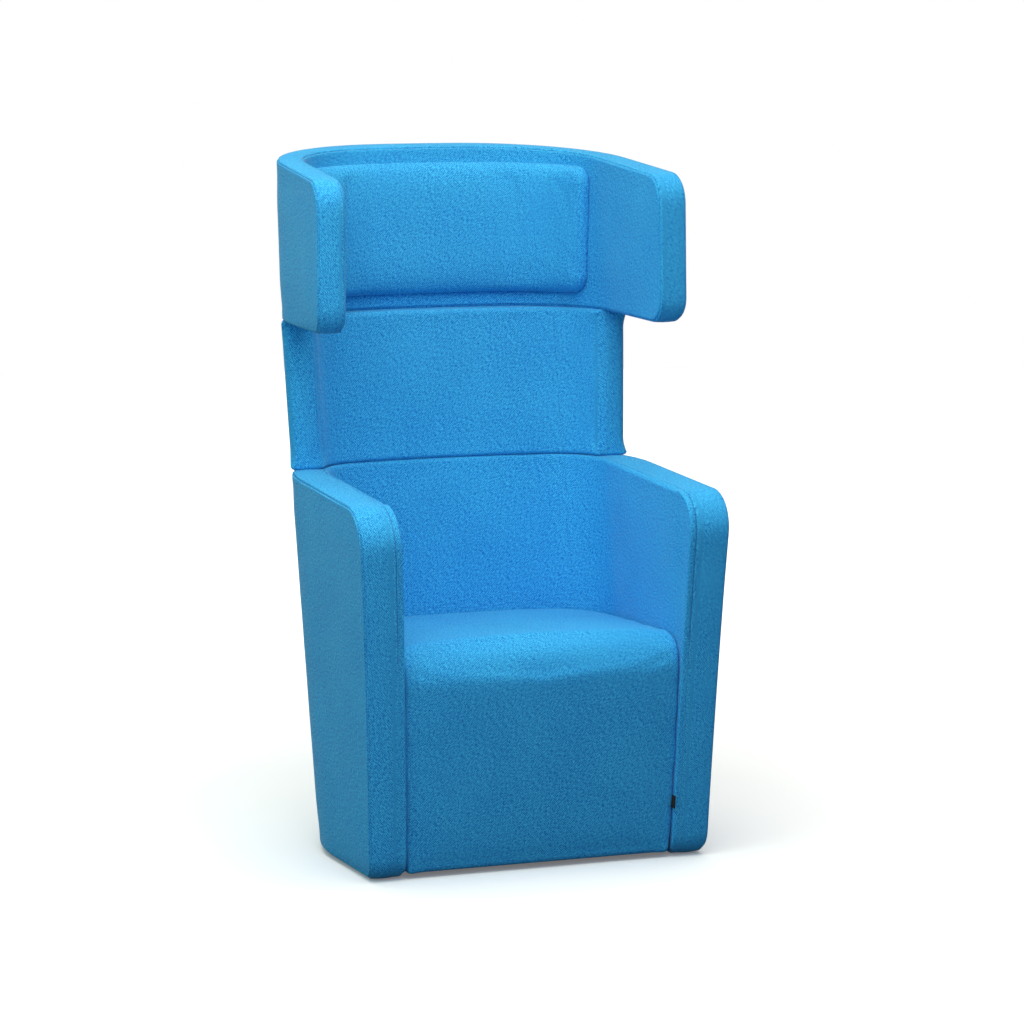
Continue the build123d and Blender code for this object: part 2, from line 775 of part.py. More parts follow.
with BuildPart() as seat_foam:
    add(seat_body(LINING))
    add(level_block(SEAT_UNDERSIDE + FIT_GAP, SEAT_HEIGHT), mode=Mode.INTERSECT)
keep(seat_foam.part, "seat_foam")
with BuildPart() as front_foam:
    add(seat_body(LINING))
    add(level_block(0, SEAT_UNDERSIDE), mode=Mode.INTERSECT)
    add(depth_block(-REACH, FASCIA_BACK_Y - FIT_GAP), mode=Mode.INTERSECT)
keep(front_foam.part, "front_foam")
with BuildPart() as seat_cover:
    add(seat_body(0))
    add(seat_body(CLOTH), mode=Mode.SUBTRACT)
    add(seat_cavity(0), mode=Mode.SUBTRACT)
keep(seat_cover.part, "seat_cover")

with BuildPart() as seam_tag:
    tag_side = (SEAT_GAP - TAG_THICKNESS) / 2
    add(ring(inner_face(TUB, -tag_side), inner_face(TUB, -tag_side - TAG_THICKNESS)))
    tag_front = FRONT_Y + SEAT_SETBACK - tan(radians(ARM_LEAN)) * (TAG_Z + TAG_HEIGHT / 2)
    add(depth_block(tag_front - TAG_PROUD, tag_front + TAG_TAIL), mode=Mode.INTERSECT)
    add(level_block(TAG_Z, TAG_Z + TAG_HEIGHT), mode=Mode.INTERSECT)
    add(RIGHT_HALF, mode=Mode.INTERSECT)
keep(seam_tag.part, "seam_tag")

# Middle section
with BuildPart() as mid_board:
    add(ring(parallel(PLY_INSET), parallel(PLY_INNER), MID_SPAN))
    add(level_block(MID_BOTTOM + LINING, MID_TOP - LINING), mode=Mode.INTERSECT)
    add(depth_block(MID_END_Y + PLY_EDGE, REACH), mode=Mode.INTERSECT)
    add(holes, mode=Mode.SUBTRACT)
keep(mid_board.part, "mid_board")
with BuildPart() as mid_slot:
    add(ring(parallel(PLY_INSET - FIT_GAP), parallel(PLY_INNER + FIT_GAP), MID_SPAN))
    add(depth_block(MID_END_Y + PLY_EDGE - FIT_GAP, REACH), mode=Mode.INTERSECT)
with BuildPart() as mid_face_room:
    add(ring(inner_face(TUB, LINING), inner_face(TUB, -CLOTH), MID_SPAN))
    add(width_block(-SEAM_X - FIT_GAP, SEAM_X + FIT_GAP), mode=Mode.INTERSECT)
with BuildPart() as mid_foam:
    add(mid_body(LINING))
    add(mid_slot.part, mode=Mode.SUBTRACT)
    add(upright_room.part, mode=Mode.SUBTRACT)
    add(mid_face_room.part, mode=Mode.SUBTRACT)
keep(mid_foam.part, "mid_foam")
with BuildPart() as mid_skin:
    add(mid_body(0))
    add(mid_body(CLOTH), mode=Mode.SUBTRACT)
    add(upright_room.part, mode=Mode.SUBTRACT)
with BuildPart() as mid_inner_cover:
    add(ring(inner_face(TUB, CLOTH), inner_face(TUB, 0), MID_SPAN))
    add(width_block(-SEAM_X, SEAM_X), mode=Mode.INTERSECT)
keep(mid_inner_cover.part, "mid_inner_cover")
with BuildPart() as mid_outer_cover:
    add(mid_skin.part)
    add(mid_face_room.part, mode=Mode.SUBTRACT)
keep(mid_outer_cover.part, "mid_outer_cover")

# Hood
with BuildPart() as hood_board:
    add(curved_layer)
    add(side_profile(HOOD, PLY_EDGE), mode=Mode.INTERSECT)
    add(holes, mode=Mode.SUBTRACT)
keep(hood_board.part, "hood_board")
with BuildPart() as hood_slot:
    add(curved_room)
    add(side_profile(HOOD, PLY_EDGE - FIT_GAP), mode=Mode.INTERSECT)
pad_stud_room = pad_stud_bodies(FIT_GAP)
with BuildPart() as hood_foam:
    add(wall_body(HOOD, LINING))
    add(hood_slot.part, mode=Mode.SUBTRACT)
    add(upright_room.part, mode=Mode.SUBTRACT)
    add(pad_stud_room, mode=Mode.SUBTRACT)
keep(hood_foam.part, "hood_foam")
with BuildPart() as hood_skin:
    add(wall_body(HOOD, 0))
    add(wall_body(HOOD, CLOTH), mode=Mode.SUBTRACT)
    add(upright_room.part, mode=Mode.SUBTRACT)
    add(pad_stud_room, mode=Mode.SUBTRACT)
with BuildPart() as hood_outer_cover:
    add(ring(parallel(0), parallel(CLOTH)))
    add(side_profile(HOOD, 0), mode=Mode.INTERSECT)
keep(hood_outer_cover.part, "hood_outer_cover")
with BuildPart() as hood_band:
    add(hood_skin.part)
    add(ring(parallel(LINING), inner_face(HOOD, LINING)), mode=Mode.INTERSECT)
keep(hood_band.part, "hood_band")
with BuildPart() as hood_inner_cover:
    add(ring(inner_face(HOOD, CLOTH), inner_face(HOOD, 0)))
    add(side_profile(HOOD, 0), mode=Mode.INTERSECT)
    add(pad_stud_room, mode=Mode.SUBTRACT)
keep(hood_inner_cover.part, "hood_inner_cover")

# Head pad, pushed onto the hood's inner face with four studs
with BuildPart() as pad_board:
    add(ring(pad_track(LINING), pad_track(LINING + PAD_BOARD)))
    add(pad_profile(PAD_BOARD_EDGE), mode=Mode.INTERSECT)
    add(pad_stud_room, mode=Mode.SUBTRACT)
keep(pad_board.part, "pad_board")
with BuildPart() as pad_slot:
    add(ring(pad_track(CLOTH), pad_track(LINING + PAD_BOARD + FIT_GAP)))
    add(pad_profile(PAD_BOARD_EDGE - FIT_GAP), mode=Mode.INTERSECT)
with BuildPart() as pad_foam:
    add(pad_body(LINING))
    add(pad_slot.part, mode=Mode.SUBTRACT)
    add(pad_stud_room, mode=Mode.SUBTRACT)
keep(pad_foam.part, "pad_foam")
with BuildPart() as pad_cover:
    add(pad_body(0))
    add(pad_body(CLOTH), mode=Mode.SUBTRACT)
    add(pad_stud_room, mode=Mode.SUBTRACT)
keep(pad_cover.part, "pad_cover")
keep(pad_stud_bodies(0), "pad_studs")
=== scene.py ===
import json
from math import atan2, cos, exp, hypot, pi, radians, sin, sqrt, tan
import bmesh
import bpy
from mathutils import Matrix, Vector, noise
from mathutils.bvhtree import BVHTree


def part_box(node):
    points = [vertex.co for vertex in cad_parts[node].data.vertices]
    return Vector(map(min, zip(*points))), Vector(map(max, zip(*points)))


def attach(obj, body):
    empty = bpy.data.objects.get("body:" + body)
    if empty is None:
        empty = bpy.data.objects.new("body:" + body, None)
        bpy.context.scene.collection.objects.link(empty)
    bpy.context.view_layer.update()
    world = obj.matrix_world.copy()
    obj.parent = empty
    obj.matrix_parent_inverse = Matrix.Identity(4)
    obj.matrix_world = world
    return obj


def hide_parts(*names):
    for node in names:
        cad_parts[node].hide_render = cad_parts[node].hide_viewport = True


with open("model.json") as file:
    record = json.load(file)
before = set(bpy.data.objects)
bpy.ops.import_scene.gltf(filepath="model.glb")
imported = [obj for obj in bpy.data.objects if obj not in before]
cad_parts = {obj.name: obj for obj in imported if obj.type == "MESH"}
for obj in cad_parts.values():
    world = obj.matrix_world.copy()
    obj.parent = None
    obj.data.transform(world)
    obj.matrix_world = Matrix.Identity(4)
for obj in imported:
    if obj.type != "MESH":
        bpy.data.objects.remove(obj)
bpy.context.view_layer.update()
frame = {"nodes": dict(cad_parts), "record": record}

BODY = "chair"
MM = 0.001

# ------------ sizes, in millimetres, as in the solids
FORM_HEIGHT = 1450.0
FRONT_Y = -372.0
FRONT_LEAN = 4.0
HALF_WIDTH = 341.0
SIDE_SPLAY = 1.95
FLOOR_TOE = -4.2
CROWN_TOE = 2.9
BACK_Y = 163.0
RECLINE = tan(radians(10.7))
BACK_RADIUS = 1370.0
CORNER_RADIUS = 300.0
BEYOND_FRONT_Y = -700.0

# a wall's thickness at the side and at the back, and its inner corner's radius
TUB_WALL = (71, 117, 129)
HOOD_WALL = (58, 62, 210)

TUB_BOTTOM = 12.0
TUB_TOP = 730.0
SEAM_X = 236.0
SEAM_OUT_X = 262.0
MID_BOTTOM = 730.3
MID_TOP = 1026.3
MID_END_LEAN = 5.0
MID_END_Y = 107.0 - tan(radians(MID_END_LEAN)) * (MID_BOTTOM + MID_TOP) / 2
HOOD_BOTTOM = 1026.6
HOOD_HEIGHT = 284.0
HOOD_FRONT_Y = -196.0
HOOD_LEAN = -1.15
HOOD_TOP_SLOPE = 4.6
HOOD_SEAM_X = 186.0
HOOD_SEAM_OUT_X = 190.0
SEAT_HEIGHT = 455.0
SEAT_NOSE = 62.0
SEAT_SIDE_Y = -40.0
SEAT_VOXEL = 6.0

PAD_Z = (1057.0, 1321.0)
PAD_MID = 1190.0
PAD_END_Y = 168.0
PAD_THICK = 30.0
PAD_CORNER = 36.0
PAD_EDGE = 24.0
PAD_SEAM_X = 198.0
PAD_GAP = 0.3

# soft shape that the solids don't have: fuller walls (at the floor and at FORM_HEIGHT, or throughout), lower
# toes, tops that fall towards the front, and a hem that is drawn in
TUB_SWELL = (2.5, 19.4)
HOOD_SWELL = (44.5, -4.5)
MID_SWELL = 4.5
TOE_DROP = 10.0
WING_DROP = 5.0
DROP_HEIGHT = 70
DROP_REACH = 420
ARM_FALL = 14.0
FALL_HEIGHT = 220
TOP_LEVEL_Y = 90.0
TUCK = 12.0
TUCK_HEIGHT = 46.0
TUCK_REACH = 320
SEAT_FULL = 4.0
SEAT_TOE_DROP = 6.0
PAD_SHOULDER = 7.0


def clamp(x):
    return max(0.0, min(1.0, x))


def smooth(x):
    x = clamp(x)
    return x * x * (3 - 2 * x)


def lerp(a, b, f):
    return a + (b - a) * f


def lerp2(a, b, f):
    return (lerp(a[0], b[0], f), lerp(a[1], b[1], f))


def in_mm(co):
    return co.x / MM, co.y / MM, co.z / MM


# ------------ the shared plan outline
def plan(h, side, back, corner):
    """Right half of one plan curve: back arc, corner arc and side line."""
    toe = radians(lerp(FLOOR_TOE, CROWN_TOE, h / FORM_HEIGHT))
    ax, ay = -sin(toe), cos(toe)
    ix, iy = -cos(toe), -sin(toe)
    sx = HALF_WIDTH + tan(radians(SIDE_SPLAY)) * h + ix * side
    sy = FRONT_Y + iy * side
    back_y = BACK_Y + RECLINE * h - back
    big = BACK_RADIUS - back
    cy = back_y - big
    ox, oy = sx + ix * corner, sy + iy * corner - cy
    reach = ox * ax + oy * ay
    orbit = big - corner
    travel = sqrt(reach * reach - ox * ox - oy * oy + orbit * orbit) - reach
    kx, ky = sx + ix * corner + ax * travel, sy + iy * corner + ay * travel
    a_end = atan2(ky - cy, kx)
    front = (sx - ax * (sy - BEYOND_FRONT_Y) / ay, BEYOND_FRONT_Y)
    end = (kx - ix * corner, ky - iy * corner)
    a_side = atan2(-iy, -ix)
    return dict(cy=cy, big=big, a_end=a_end, k=(kx, ky), r=corner, a_side=a_side, end=end, front=front)


def plan_arc(p, t):
    if t <= 1:
        a = lerp(pi / 2, p["a_end"], t)
        return (p["big"] * cos(a), p["cy"] + p["big"] * sin(a))
    a = lerp(p["a_end"], p["a_side"], t - 1)
    return (p["k"][0] + p["r"] * cos(a), p["k"][1] + p["r"] * sin(a))


class Shell:
    """One leaning surface round the sitter, straight between its lowest and highest plan curve."""

    def __init__(self, side, back, corner, low=0.0, high=FORM_HEIGHT, swell=(0.0, 0.0)):
        self.low, self.high = low, high
        self.a = plan(low, side - swell[0], back, corner)
        self.b = plan(high, side - swell[1], back, corner)
        self.lb = [p["big"] * (pi / 2 - p["a_end"]) for p in (self.a, self.b)]
        self.lc = [p["r"] * (p["a_end"] - p["a_side"]) for p in (self.a, self.b)]
        self.found = {}

    def f(self, h):
        return (h - self.low) / (self.high - self.low)

    def arc(self, t, h):
        return lerp2(plan_arc(self.a, t), plan_arc(self.b, t), self.f(h))

    def lengths(self, h):
        return lerp(*self.lb, self.f(h)), lerp(*self.lc, self.f(h))

    def end(self, h):
        return lerp2(self.a["end"], self.b["end"], self.f(h))

    def at(self, s, h):
        """Point at distance s along the curve from the middle of the back."""
        lb, lc = self.lengths(h)
        if s <= lb:
            return self.arc(s / lb, h)
        if s <= lb + lc:
            return self.arc(1 + (s - lb) / lc, h)
        e, fr = self.end(h), lerp2(self.a["front"], self.b["front"], self.f(h))
        d = hypot(fr[0] - e[0], fr[1] - e[1])
        return lerp2(e, fr, (s - lb - lc) / d)

    def find(self, axis, value, h):
        """Distance along the curve at which x or y has that value."""
        key = (axis, round(value, 3), round(h, 3))
        if key in self.found:
            return self.found[key]
        lo, hi = 0.0, sum(self.lengths(h)) + 900.0
        rising = axis == 0
        if rising:
            hi = sum(self.lengths(h)) * 0.999
        for _ in range(24):
            m = (lo + hi) / 2
            v = self.at(m, h)[axis]
            if (v < value) == rising:
                lo = m
            else:
                hi = m
        self.found[key] = (lo + hi) / 2
        return self.found[key]


def arc_points(corner, d1, d2, r, n):
    """Fillet from the line along d1 to the line along d2, both pointing away from the corner."""
    d1, d2 = Vector(d1).normalized(), Vector(d2).normalized()
    half = d1.angle(d2) / 2
    r = max(r, 0.5)
    c = Vector(corner) + (d1 + d2).normalized() * (r / sin(half))
    p1, p2 = Vector(corner) + d1 * (r / tan(half)), Vector(corner) + d2 * (r / tan(half))
    a1 = atan2(p1.y - c.y, p1.x - c.x)
    a2 = atan2(p2.y - c.y, p2.x - c.x)
    while a2 - a1 > pi:
        a2 -= 2 * pi
    while a1 - a2 > pi:
        a2 += 2 * pi
    return [(c.x + r * cos(lerp(a1, a2, i / n)), c.y + r * sin(lerp(a1, a2, i / n))) for i in range(n + 1)]


# distances of the closest columns from a seam, and the steps into which the parts of a wall are divided
SEAM_STEPS = (0, 0.8, 1.7, 3.2, 6.5, 13)
TOE_STEPS, FRONT_STEPS, TOP_STEPS = 7, 26, 9
SIDE_STEPS, SIDE_RUN = 15, 400.0
BACK_STEPS, BACK_RUN = 11, 240.0


def graded(n, fine, total):
    """Fractions 0..1: small steps first, in mm of the total, then n even ones."""
    head = [f / total for f in fine]
    return head + [lerp(head[-1], 1.0, i / n) for i in range(1, n)] + [1.0]


class Wall:
    """A padded wall: side profile with rounded corners, an outer and an inner shell."""

    def __init__(
        self, outer, inner, bottom, top, front_y, lean, top_r, toe_r, seam, seam_out,
        slope=0.0, drop=0.0, fall=0.0,
    ):
        self.drop, self.fall = drop, fall
        self.outer, self.inner = outer, inner
        self.bottom, self.top, self.front_y = bottom, top, front_y
        self.lean, self.rise = tan(radians(lean)), tan(radians(slope))
        self.top_r, self.toe_r = top_r, toe_r
        self.seam = {id(outer): seam_out, id(inner): seam}
        # columns as fractions: from the front end to the seam, and from the seam to the middle of the back
        self.fa = graded(SIDE_STEPS, (0, 5, 12), SIDE_RUN)[:-1]
        self.fa += [1 - f / SIDE_RUN for f in reversed(SEAM_STEPS)]
        self.fb = graded(BACK_STEPS, SEAM_STEPS, BACK_RUN)
        self.n_row = 2 * (len(self.fa) + len(self.fb) - 1) - 1
        self.chains = {}

    def chain(self, q):
        key = round(q, 4)
        if key not in self.chains:
            self.chains[key] = self.make_chain(q)
        return self.chains[key]

    def make_chain(self, q):
        low, high = self.bottom + q, self.top - q
        lf = self.front_y - self.lean * low + q
        hf = self.front_y - self.lean * high + q
        toe = arc_points((lf, low), (1, 0), (-self.lean, 1), self.toe_r - q, TOE_STEPS)
        top = arc_points((hf, high), (self.lean, -1), (1, self.rise), self.top_r - q, TOP_STEPS)
        a, b = toe[-1], top[0]
        mid = [lerp2(a, b, i / FRONT_STEPS) for i in range(1, FRONT_STEPS)]
        pts = toe + mid + top
        lo, hi = pts[0][1], pts[-1][1]
        return [(y, z, self.rise * clamp((z - lo) / (hi - lo))) for y, z in pts]

    def put(self, shell, col, yf, zf, slope):
        """One point of a row, its column counted from the right front end: (x, y, z, s)."""
        sign = 1
        if col > self.n_row // 2:
            col, sign = self.n_row - 1 - col, -1
        z, seam = zf, self.seam[id(shell)]
        for _ in range(3 if slope else 1):
            if col < len(self.fa):
                s = lerp(shell.find(1, yf, z), shell.find(0, seam, z), self.fa[col])
            else:
                s = shell.find(0, seam, z) * (1 - self.fb[col - len(self.fa) + 1])
            x, y = shell.at(s, z)
            z = zf + slope * (y - yf)
        x -= self.tucked(y, z) if shell is self.outer else 0.0
        return (sign * x, y, z - self.dropped(y, z) - self.fallen(y, z), sign * s)

    def fallen(self, y, z):
        """How far the top slopes down towards the front."""
        if not self.fall:
            return 0.0
        ahead = clamp((TOP_LEVEL_Y - y) / (TOP_LEVEL_Y - self.front_y))
        return self.fall * ahead * smooth(1 - (self.top - z) / FALL_HEIGHT)

    def tucked(self, y, z):
        """How far the outer face draws in just above the lower edge, most at the front."""
        if not self.drop:
            return 0.0
        t = clamp(1 - (z - self.bottom) / TUCK_HEIGHT)
        return TUCK * (1 - sqrt(1 - 0.98 * t * t)) * smooth(1 - (y - self.front_y) / TUCK_REACH)

    def dropped(self, y, z):
        """How far the padding hangs below the level edge, most at the front."""
        if not self.drop:
            return 0.0
        low = smooth(1 - (z - self.bottom) / DROP_HEIGHT)
        return self.drop * low * smooth(1 - (y - self.front_y) / DROP_REACH)

    def station(self, shell, k, q):
        """One point of the closed rim at inset q: up the right front, over, down the left front and back."""
        chain, n = self.chain(q), self.n_row
        nf = len(chain) - 1
        if k <= nf:
            j, col = k, 0
        elif k < nf + n - 1:
            j, col = nf, k - nf
        elif k <= 2 * nf + n - 1:
            j, col = 2 * nf + n - 1 - k, n - 1
        else:
            j, col = 0, 2 * (n - 1) + 2 * nf - k
        return self.put(shell, col, *chain[j])

    def loop(self, q):
        count = 2 * (len(self.chain(q)) + self.n_row) - 4
        return [[self.station(sh, k, q) for k in range(count)] for sh in (self.outer, self.inner)]


# levels of a rim's cross-section: on a face beside an edge, in half of an edge, and in the band
FACE_LEVELS, EDGE_STEPS, BAND_STEPS = 3, 4, 8
# the seam that a wrapped lining makes on the band: distance past the seam's line and depth of each level
WRAP_SEAM = ((7, 0), (4, -0.1), (2.2, -0.3), (0.9, 0.35), (0, 1.7), (-0.9, 0.35), (-2.2, -0.3))
LIP = 0.35


def corner_levels(r, seam_depth):
    """Cross-section round a 90 degree edge: (q, w, depth) from the first face to the second."""
    depths = (seam_depth, seam_depth * 0.22, -LIP, 0.0, 0.0) if seam_depth else (0.0,) * (EDGE_STEPS + 1)
    levels = []
    for i in range(-EDGE_STEPS, EDGE_STEPS + 1):
        phi = radians(45 + 45 * i / EDGE_STEPS)
        levels.append(((1 - sin(phi)) * r, (1 - cos(phi)) * r, depths[abs(i)]))
    return levels


class Skin:
    """Collects a wall's vertices and tagged faces, then cuts them into pieces."""

    def __init__(self):
        self.bm = bmesh.new()
        self.depth = self.bm.verts.layers.float.new("depth")
        self.u = self.bm.verts.layers.float.new("wu")
        self.v = self.bm.verts.layers.float.new("wv")
        self.tag = self.bm.faces.layers.int.new("tag")
        self.names = []

    def grid(self, points, tag_of, closed=False):
        """points[i][j] = (position mm, depth mm, (u, v)); tag_of(i, j) names the face's piece."""
        rows = []
        for line in points:
            verts = []
            for p, d, uv in line:
                v = self.bm.verts.new([c * MM for c in p])
                v[self.depth] = d
                v[self.u], v[self.v] = uv[0] * MM, uv[1] * MM
                verts.append(v)
            rows.append(verts)
        for i in range(len(rows) - 1):
            n = len(rows[i])
            for j in range(n if closed else n - 1):
                k = (j + 1) % n
                quad = (rows[i][j], rows[i][k], rows[i + 1][k], rows[i + 1][j])
                if len(set(quad)) < 4:
                    continue
                f = self.bm.faces.new(quad)
                name = tag_of(i, j)
                if name not in self.names:
                    self.names.append(name)
                f[self.tag] = self.names.index(name)
                f.smooth = True

    def weld(self):
        bmesh.ops.remove_doubles(self.bm, verts=self.bm.verts, dist=0.00004)
        bmesh.ops.dissolve_degenerate(self.bm, dist=0.00002, edges=self.bm.edges)
        bmesh.ops.recalc_face_normals(self.bm, faces=self.bm.faces)
        self.bm.normal_update()
        moves = [(v, v.normal * (-v[self.depth] * MM)) for v in self.bm.verts]
        for v, m in moves:
            v.co += m

    def tree(self):
        self.bm.normal_update()
        return BVHTree.FromBMesh(self.bm)

    def pieces(self, thickness=2.0):
        made = {}
        for index, name in enumerate(self.names):
            part = self.bm.copy()
            drop = [f for f in part.faces if f[part.faces.layers.int["tag"]] != index]
            bmesh.ops.delete(part, geom=drop, context="FACES")
            made[name] = to_object(part, name + "_cloth", uv=True)
            thick = made[name].modifiers.new("thickness", "SOLIDIFY")
            thick.thickness = thickness * MM
            thick.offset = -1
            thick.use_rim = True
            thick.use_even_offset = False
        return made


def add_object(name, data):
    ob = bpy.data.objects.new(name, data)
    bpy.context.scene.collection.objects.link(ob)
    return ob


def to_object(bm, name, uv=False):
    """Makes an object of a bmesh, with its weave coordinates as a UV map."""
    if uv:
        lay = bm.loops.layers.uv.new("weave")
        lu, lv = bm.verts.layers.float["wu"], bm.verts.layers.float["wv"]
        for f in bm.faces:
            for loop in f.loops:
                loop[lay].uv = (loop.vert[lu], loop.vert[lv])
    me = bpy.data.meshes.new(name)
    bm.to_mesh(me)
    bm.free()
    for p in me.polygons:
        p.use_smooth = True
    return add_object(name, me)


def billow(p, size, amount):
    """Slow unevenness of foam under cloth."""
    return noise.noise(Vector(p) / size) * amount


def build_wall(
    wall, outer, band, lining, crown_in, crown_out, band_crown, row_crown, round_out, round_in,
    wrap=0.0, seam_out=0.0, seam_in=0.0, groove=0.0, reach=18.0,
):
    """A wall's whole cloth. lining names its pieces left, centre and right, which reach out by wrap."""
    skin = Skin()
    base_o, base_i = wall.loop(0.0)
    deep_o, deep_i = wall.loop(reach)
    count = len(base_o)
    n_front = TOE_STEPS + FRONT_STEPS + TOP_STEPS
    n_row = wall.n_row
    col_seam = len(wall.fa) - 1
    top_end = n_front + n_row - 1
    left_end = 2 * n_front + n_row - 1

    def lining_piece(col):
        left, centre, right = lining
        if col <= col_seam:
            return right
        return left if col > n_row - 1 - col_seam else centre

    def column(k):
        """Column of station k along the top or bottom row, counted from the right front end."""
        if k <= n_front:
            return 0
        if k <= top_end:
            return k - n_front
        if k <= left_end:
            return n_row - 1
        return n_row - 1 - (k - left_end)

    def along_row(k):
        return not (k <= n_front or top_end <= k <= left_end)

    def seam_depth(col):
        near = min(abs(col - col_seam), abs(col - (n_row - 1 - col_seam)))
        return groove * (1.0, 0.2, -0.18, -0.09)[near] if near < 4 else 0.0

    def edge_radius(k, radii):
        """Edge radius at a station: the first along top and bottom, the second up the front."""
        level, front = radii
        if along_row(k):
            return level
        z = base_o[k][2]
        room = min(z - wall.bottom, wall.top - z)
        return lerp(level, front, smooth(room / max(front, 1.0)))

    def channel(k):
        """Depth of the hollow under a dropped edge, behind the toe."""
        if k <= left_end:
            return 0.0
        return (wall.bottom - base_o[k][2]) * smooth((base_o[k][1] - wall.front_y - 45) / 35)

    # the rim's cross-section at each station: side, inset q, distance w into the band, depth, and the place
    # on the flat cloth, counted from the edge
    sections = []
    for k in range(count):
        ro, ri = edge_radius(k, round_out), edge_radius(k, round_in)
        width = hypot(base_i[k][0] - base_o[k][0], base_i[k][1] - base_o[k][1])
        marks = [(wrap + past, depth) for past, depth in WRAP_SEAM] if wrap else []
        far = width - (marks[0][0] if wrap else ri)
        cut = [("o", q, 0.0, 0.0, q) for q in (reach, (reach + ro) / 2, ro + 1.2)]
        cut += [("o", q, w, d, q - w) for q, w, d in corner_levels(ro, seam_out)]
        crown = row_crown if along_row(k) else band_crown
        for i in range(1, BAND_STEPS):
            f = i / BAND_STEPS
            w = lerp(ro, far, f)
            cut.append(("o", 0.0, w, channel(k) * (1 - (2 * f - 1) ** 4) - crown * sin(pi * f) ** 0.8, w))
        shown = 1.0 if along_row(k) else smooth((base_o[k][2] - SEAT_HEIGHT + 40) / 30)
        cut += [("i", 0.0, w, d * shown, -w) for w, d in marks]
        cut += [("i", q, w, d, q - w) for q, w, d in reversed(corner_levels(ri, seam_in))]
        cut += [("i", q, 0.0, 0.0, q) for q in (ri + 1.2, (reach + ri) / 2, reach)]
        sections.append(cut)
    seam_level = FACE_LEVELS + EDGE_STEPS
    seam_in_level = FACE_LEVELS + 2 * EDGE_STEPS + BAND_STEPS + EDGE_STEPS

    run = [0.0]
    for p, q in zip(base_o, base_o[1:]):
        run.append(run[-1] + (Vector(q[:3]) - Vector(p[:3])).length)

    grid = []
    for lv in range(len(sections[0])):
        line = []
        for k in range(count):
            side, q, w, d, flat = sections[k][lv]
            po = Vector(wall.station(wall.outer, k, q)[:3])
            pi_ = Vector(wall.station(wall.inner, k, q)[:3])
            across = (pi_ - po).normalized()
            if side == "o":
                pos = po + across * w
            else:
                pos = pi_ - across * w
                d = d + seam_depth(column(k)) * smooth((q - w + 4) / 8)
            if seam_level < lv <= seam_in_level:
                uv = (run[k], w if side == "o" else 200.0 - w)
            else:
                b0, b1 = (base_o[k], deep_o[k]) if lv <= seam_level else (base_i[k], deep_i[k])
                uv = (b0[3] + (b1[3] - b0[3]) / reach * flat, b0[2] + (b1[2] - b0[2]) / reach * flat)
            line.append((pos, d, uv))
        grid.append(line)

    def rim_piece(lv, k):
        if lv < seam_level:
            return outer
        return band if lv < seam_in_level else lining_piece(column(k))

    skin.grid(grid, rim_piece, closed=True)

    # faces inside the rim
    chain = wall.chain(reach)
    for shell in (wall.outer, wall.inner):
        rows = []
        for y, z, slope in chain:
            line = []
            pts = [wall.put(shell, c, y, z, slope) for c in range(n_row)]
            s_end = abs(pts[0][3])
            for c, (px, py, pz, s) in enumerate(pts):
                roof = chain[-1][1] + wall.rise * (py - chain[-1][0])
                room = max(min(pz - chain[0][1], roof - pz, s_end - abs(s)), 0.0)
                if shell is wall.outer:
                    d = -crown_out * smooth(room / 70) - billow((px, py, pz), 95.0, 0.5) * smooth(room / 30)
                else:
                    seam = abs(abs(s) - abs(pts[col_seam][3]))
                    d = seam_depth(c) - crown_in * smooth(room / 70) * smooth(seam / 80)
                    d -= billow((px, py, pz), 85.0, 0.6) * smooth(room / 30)
                line.append(((px, py, pz), d, (s, pz)))
            rows.append(line)
        if shell is wall.outer:
            skin.grid(rows, lambda i, j: outer)
        else:
            skin.grid(rows, lambda i, j: lining_piece(j if j < n_row // 2 else j + 1))
    skin.weld()
    return skin


def piece(ob, slot, *nodes):
    """A piece on the chair's body that stands for the nodes, if any."""
    if nodes:
        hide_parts(*nodes)
    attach(ob, BODY)


def padded_piece(ob, *nodes, fill=0.8):
    piece(ob, "upholstery_fabric", *nodes)


# ------------ tub, middle and hood
TUB = Wall(
    Shell(0, 0, CORNER_RADIUS, swell=TUB_SWELL), Shell(*TUB_WALL), TUB_BOTTOM, TUB_TOP, FRONT_Y, FRONT_LEAN,
    top_r=78.0, toe_r=40.0, seam=SEAM_X, seam_out=SEAM_OUT_X, drop=TOE_DROP, fall=ARM_FALL,
)
tub_skin = build_wall(
    TUB, "tub_outer_cover", "tub_band", ("arm_panel_left", "tub_back_panel", "arm_panel_right"),
    crown_in=2.5, crown_out=2.0, band_crown=1.2, row_crown=1.2, round_out=(8.0, 6.0), round_in=(9.0, 3.5),
    wrap=13.0, seam_out=1.7, groove=1.1,
)
MID = Wall(
    Shell(0, 0, CORNER_RADIUS, MID_BOTTOM, MID_TOP, swell=(MID_SWELL, MID_SWELL)),
    Shell(*TUB_WALL, MID_BOTTOM, MID_TOP), MID_BOTTOM, MID_TOP, MID_END_Y, -MID_END_LEAN,
    top_r=7.0, toe_r=7.0, seam=SEAM_X, seam_out=SEAM_OUT_X,
)
mid_skin = build_wall(
    MID, "mid_outer_cover", "mid_outer_cover", ("mid_outer_cover", "mid_inner_cover", "mid_outer_cover"),
    crown_in=3.0, crown_out=2.0, band_crown=0.5, row_crown=0.4, round_out=(9.0, 26.0), round_in=(9.0, 26.0),
    groove=0.8, reach=30.0,
)
HOOD = Wall(
    Shell(0, 0, CORNER_RADIUS, swell=HOOD_SWELL), Shell(*HOOD_WALL, swell=HOOD_SWELL),
    HOOD_BOTTOM, HOOD_BOTTOM + HOOD_HEIGHT, HOOD_FRONT_Y, HOOD_LEAN,
    top_r=60.0, toe_r=46.0, seam=HOOD_SEAM_X, seam_out=HOOD_SEAM_OUT_X, slope=HOOD_TOP_SLOPE, drop=WING_DROP,
)
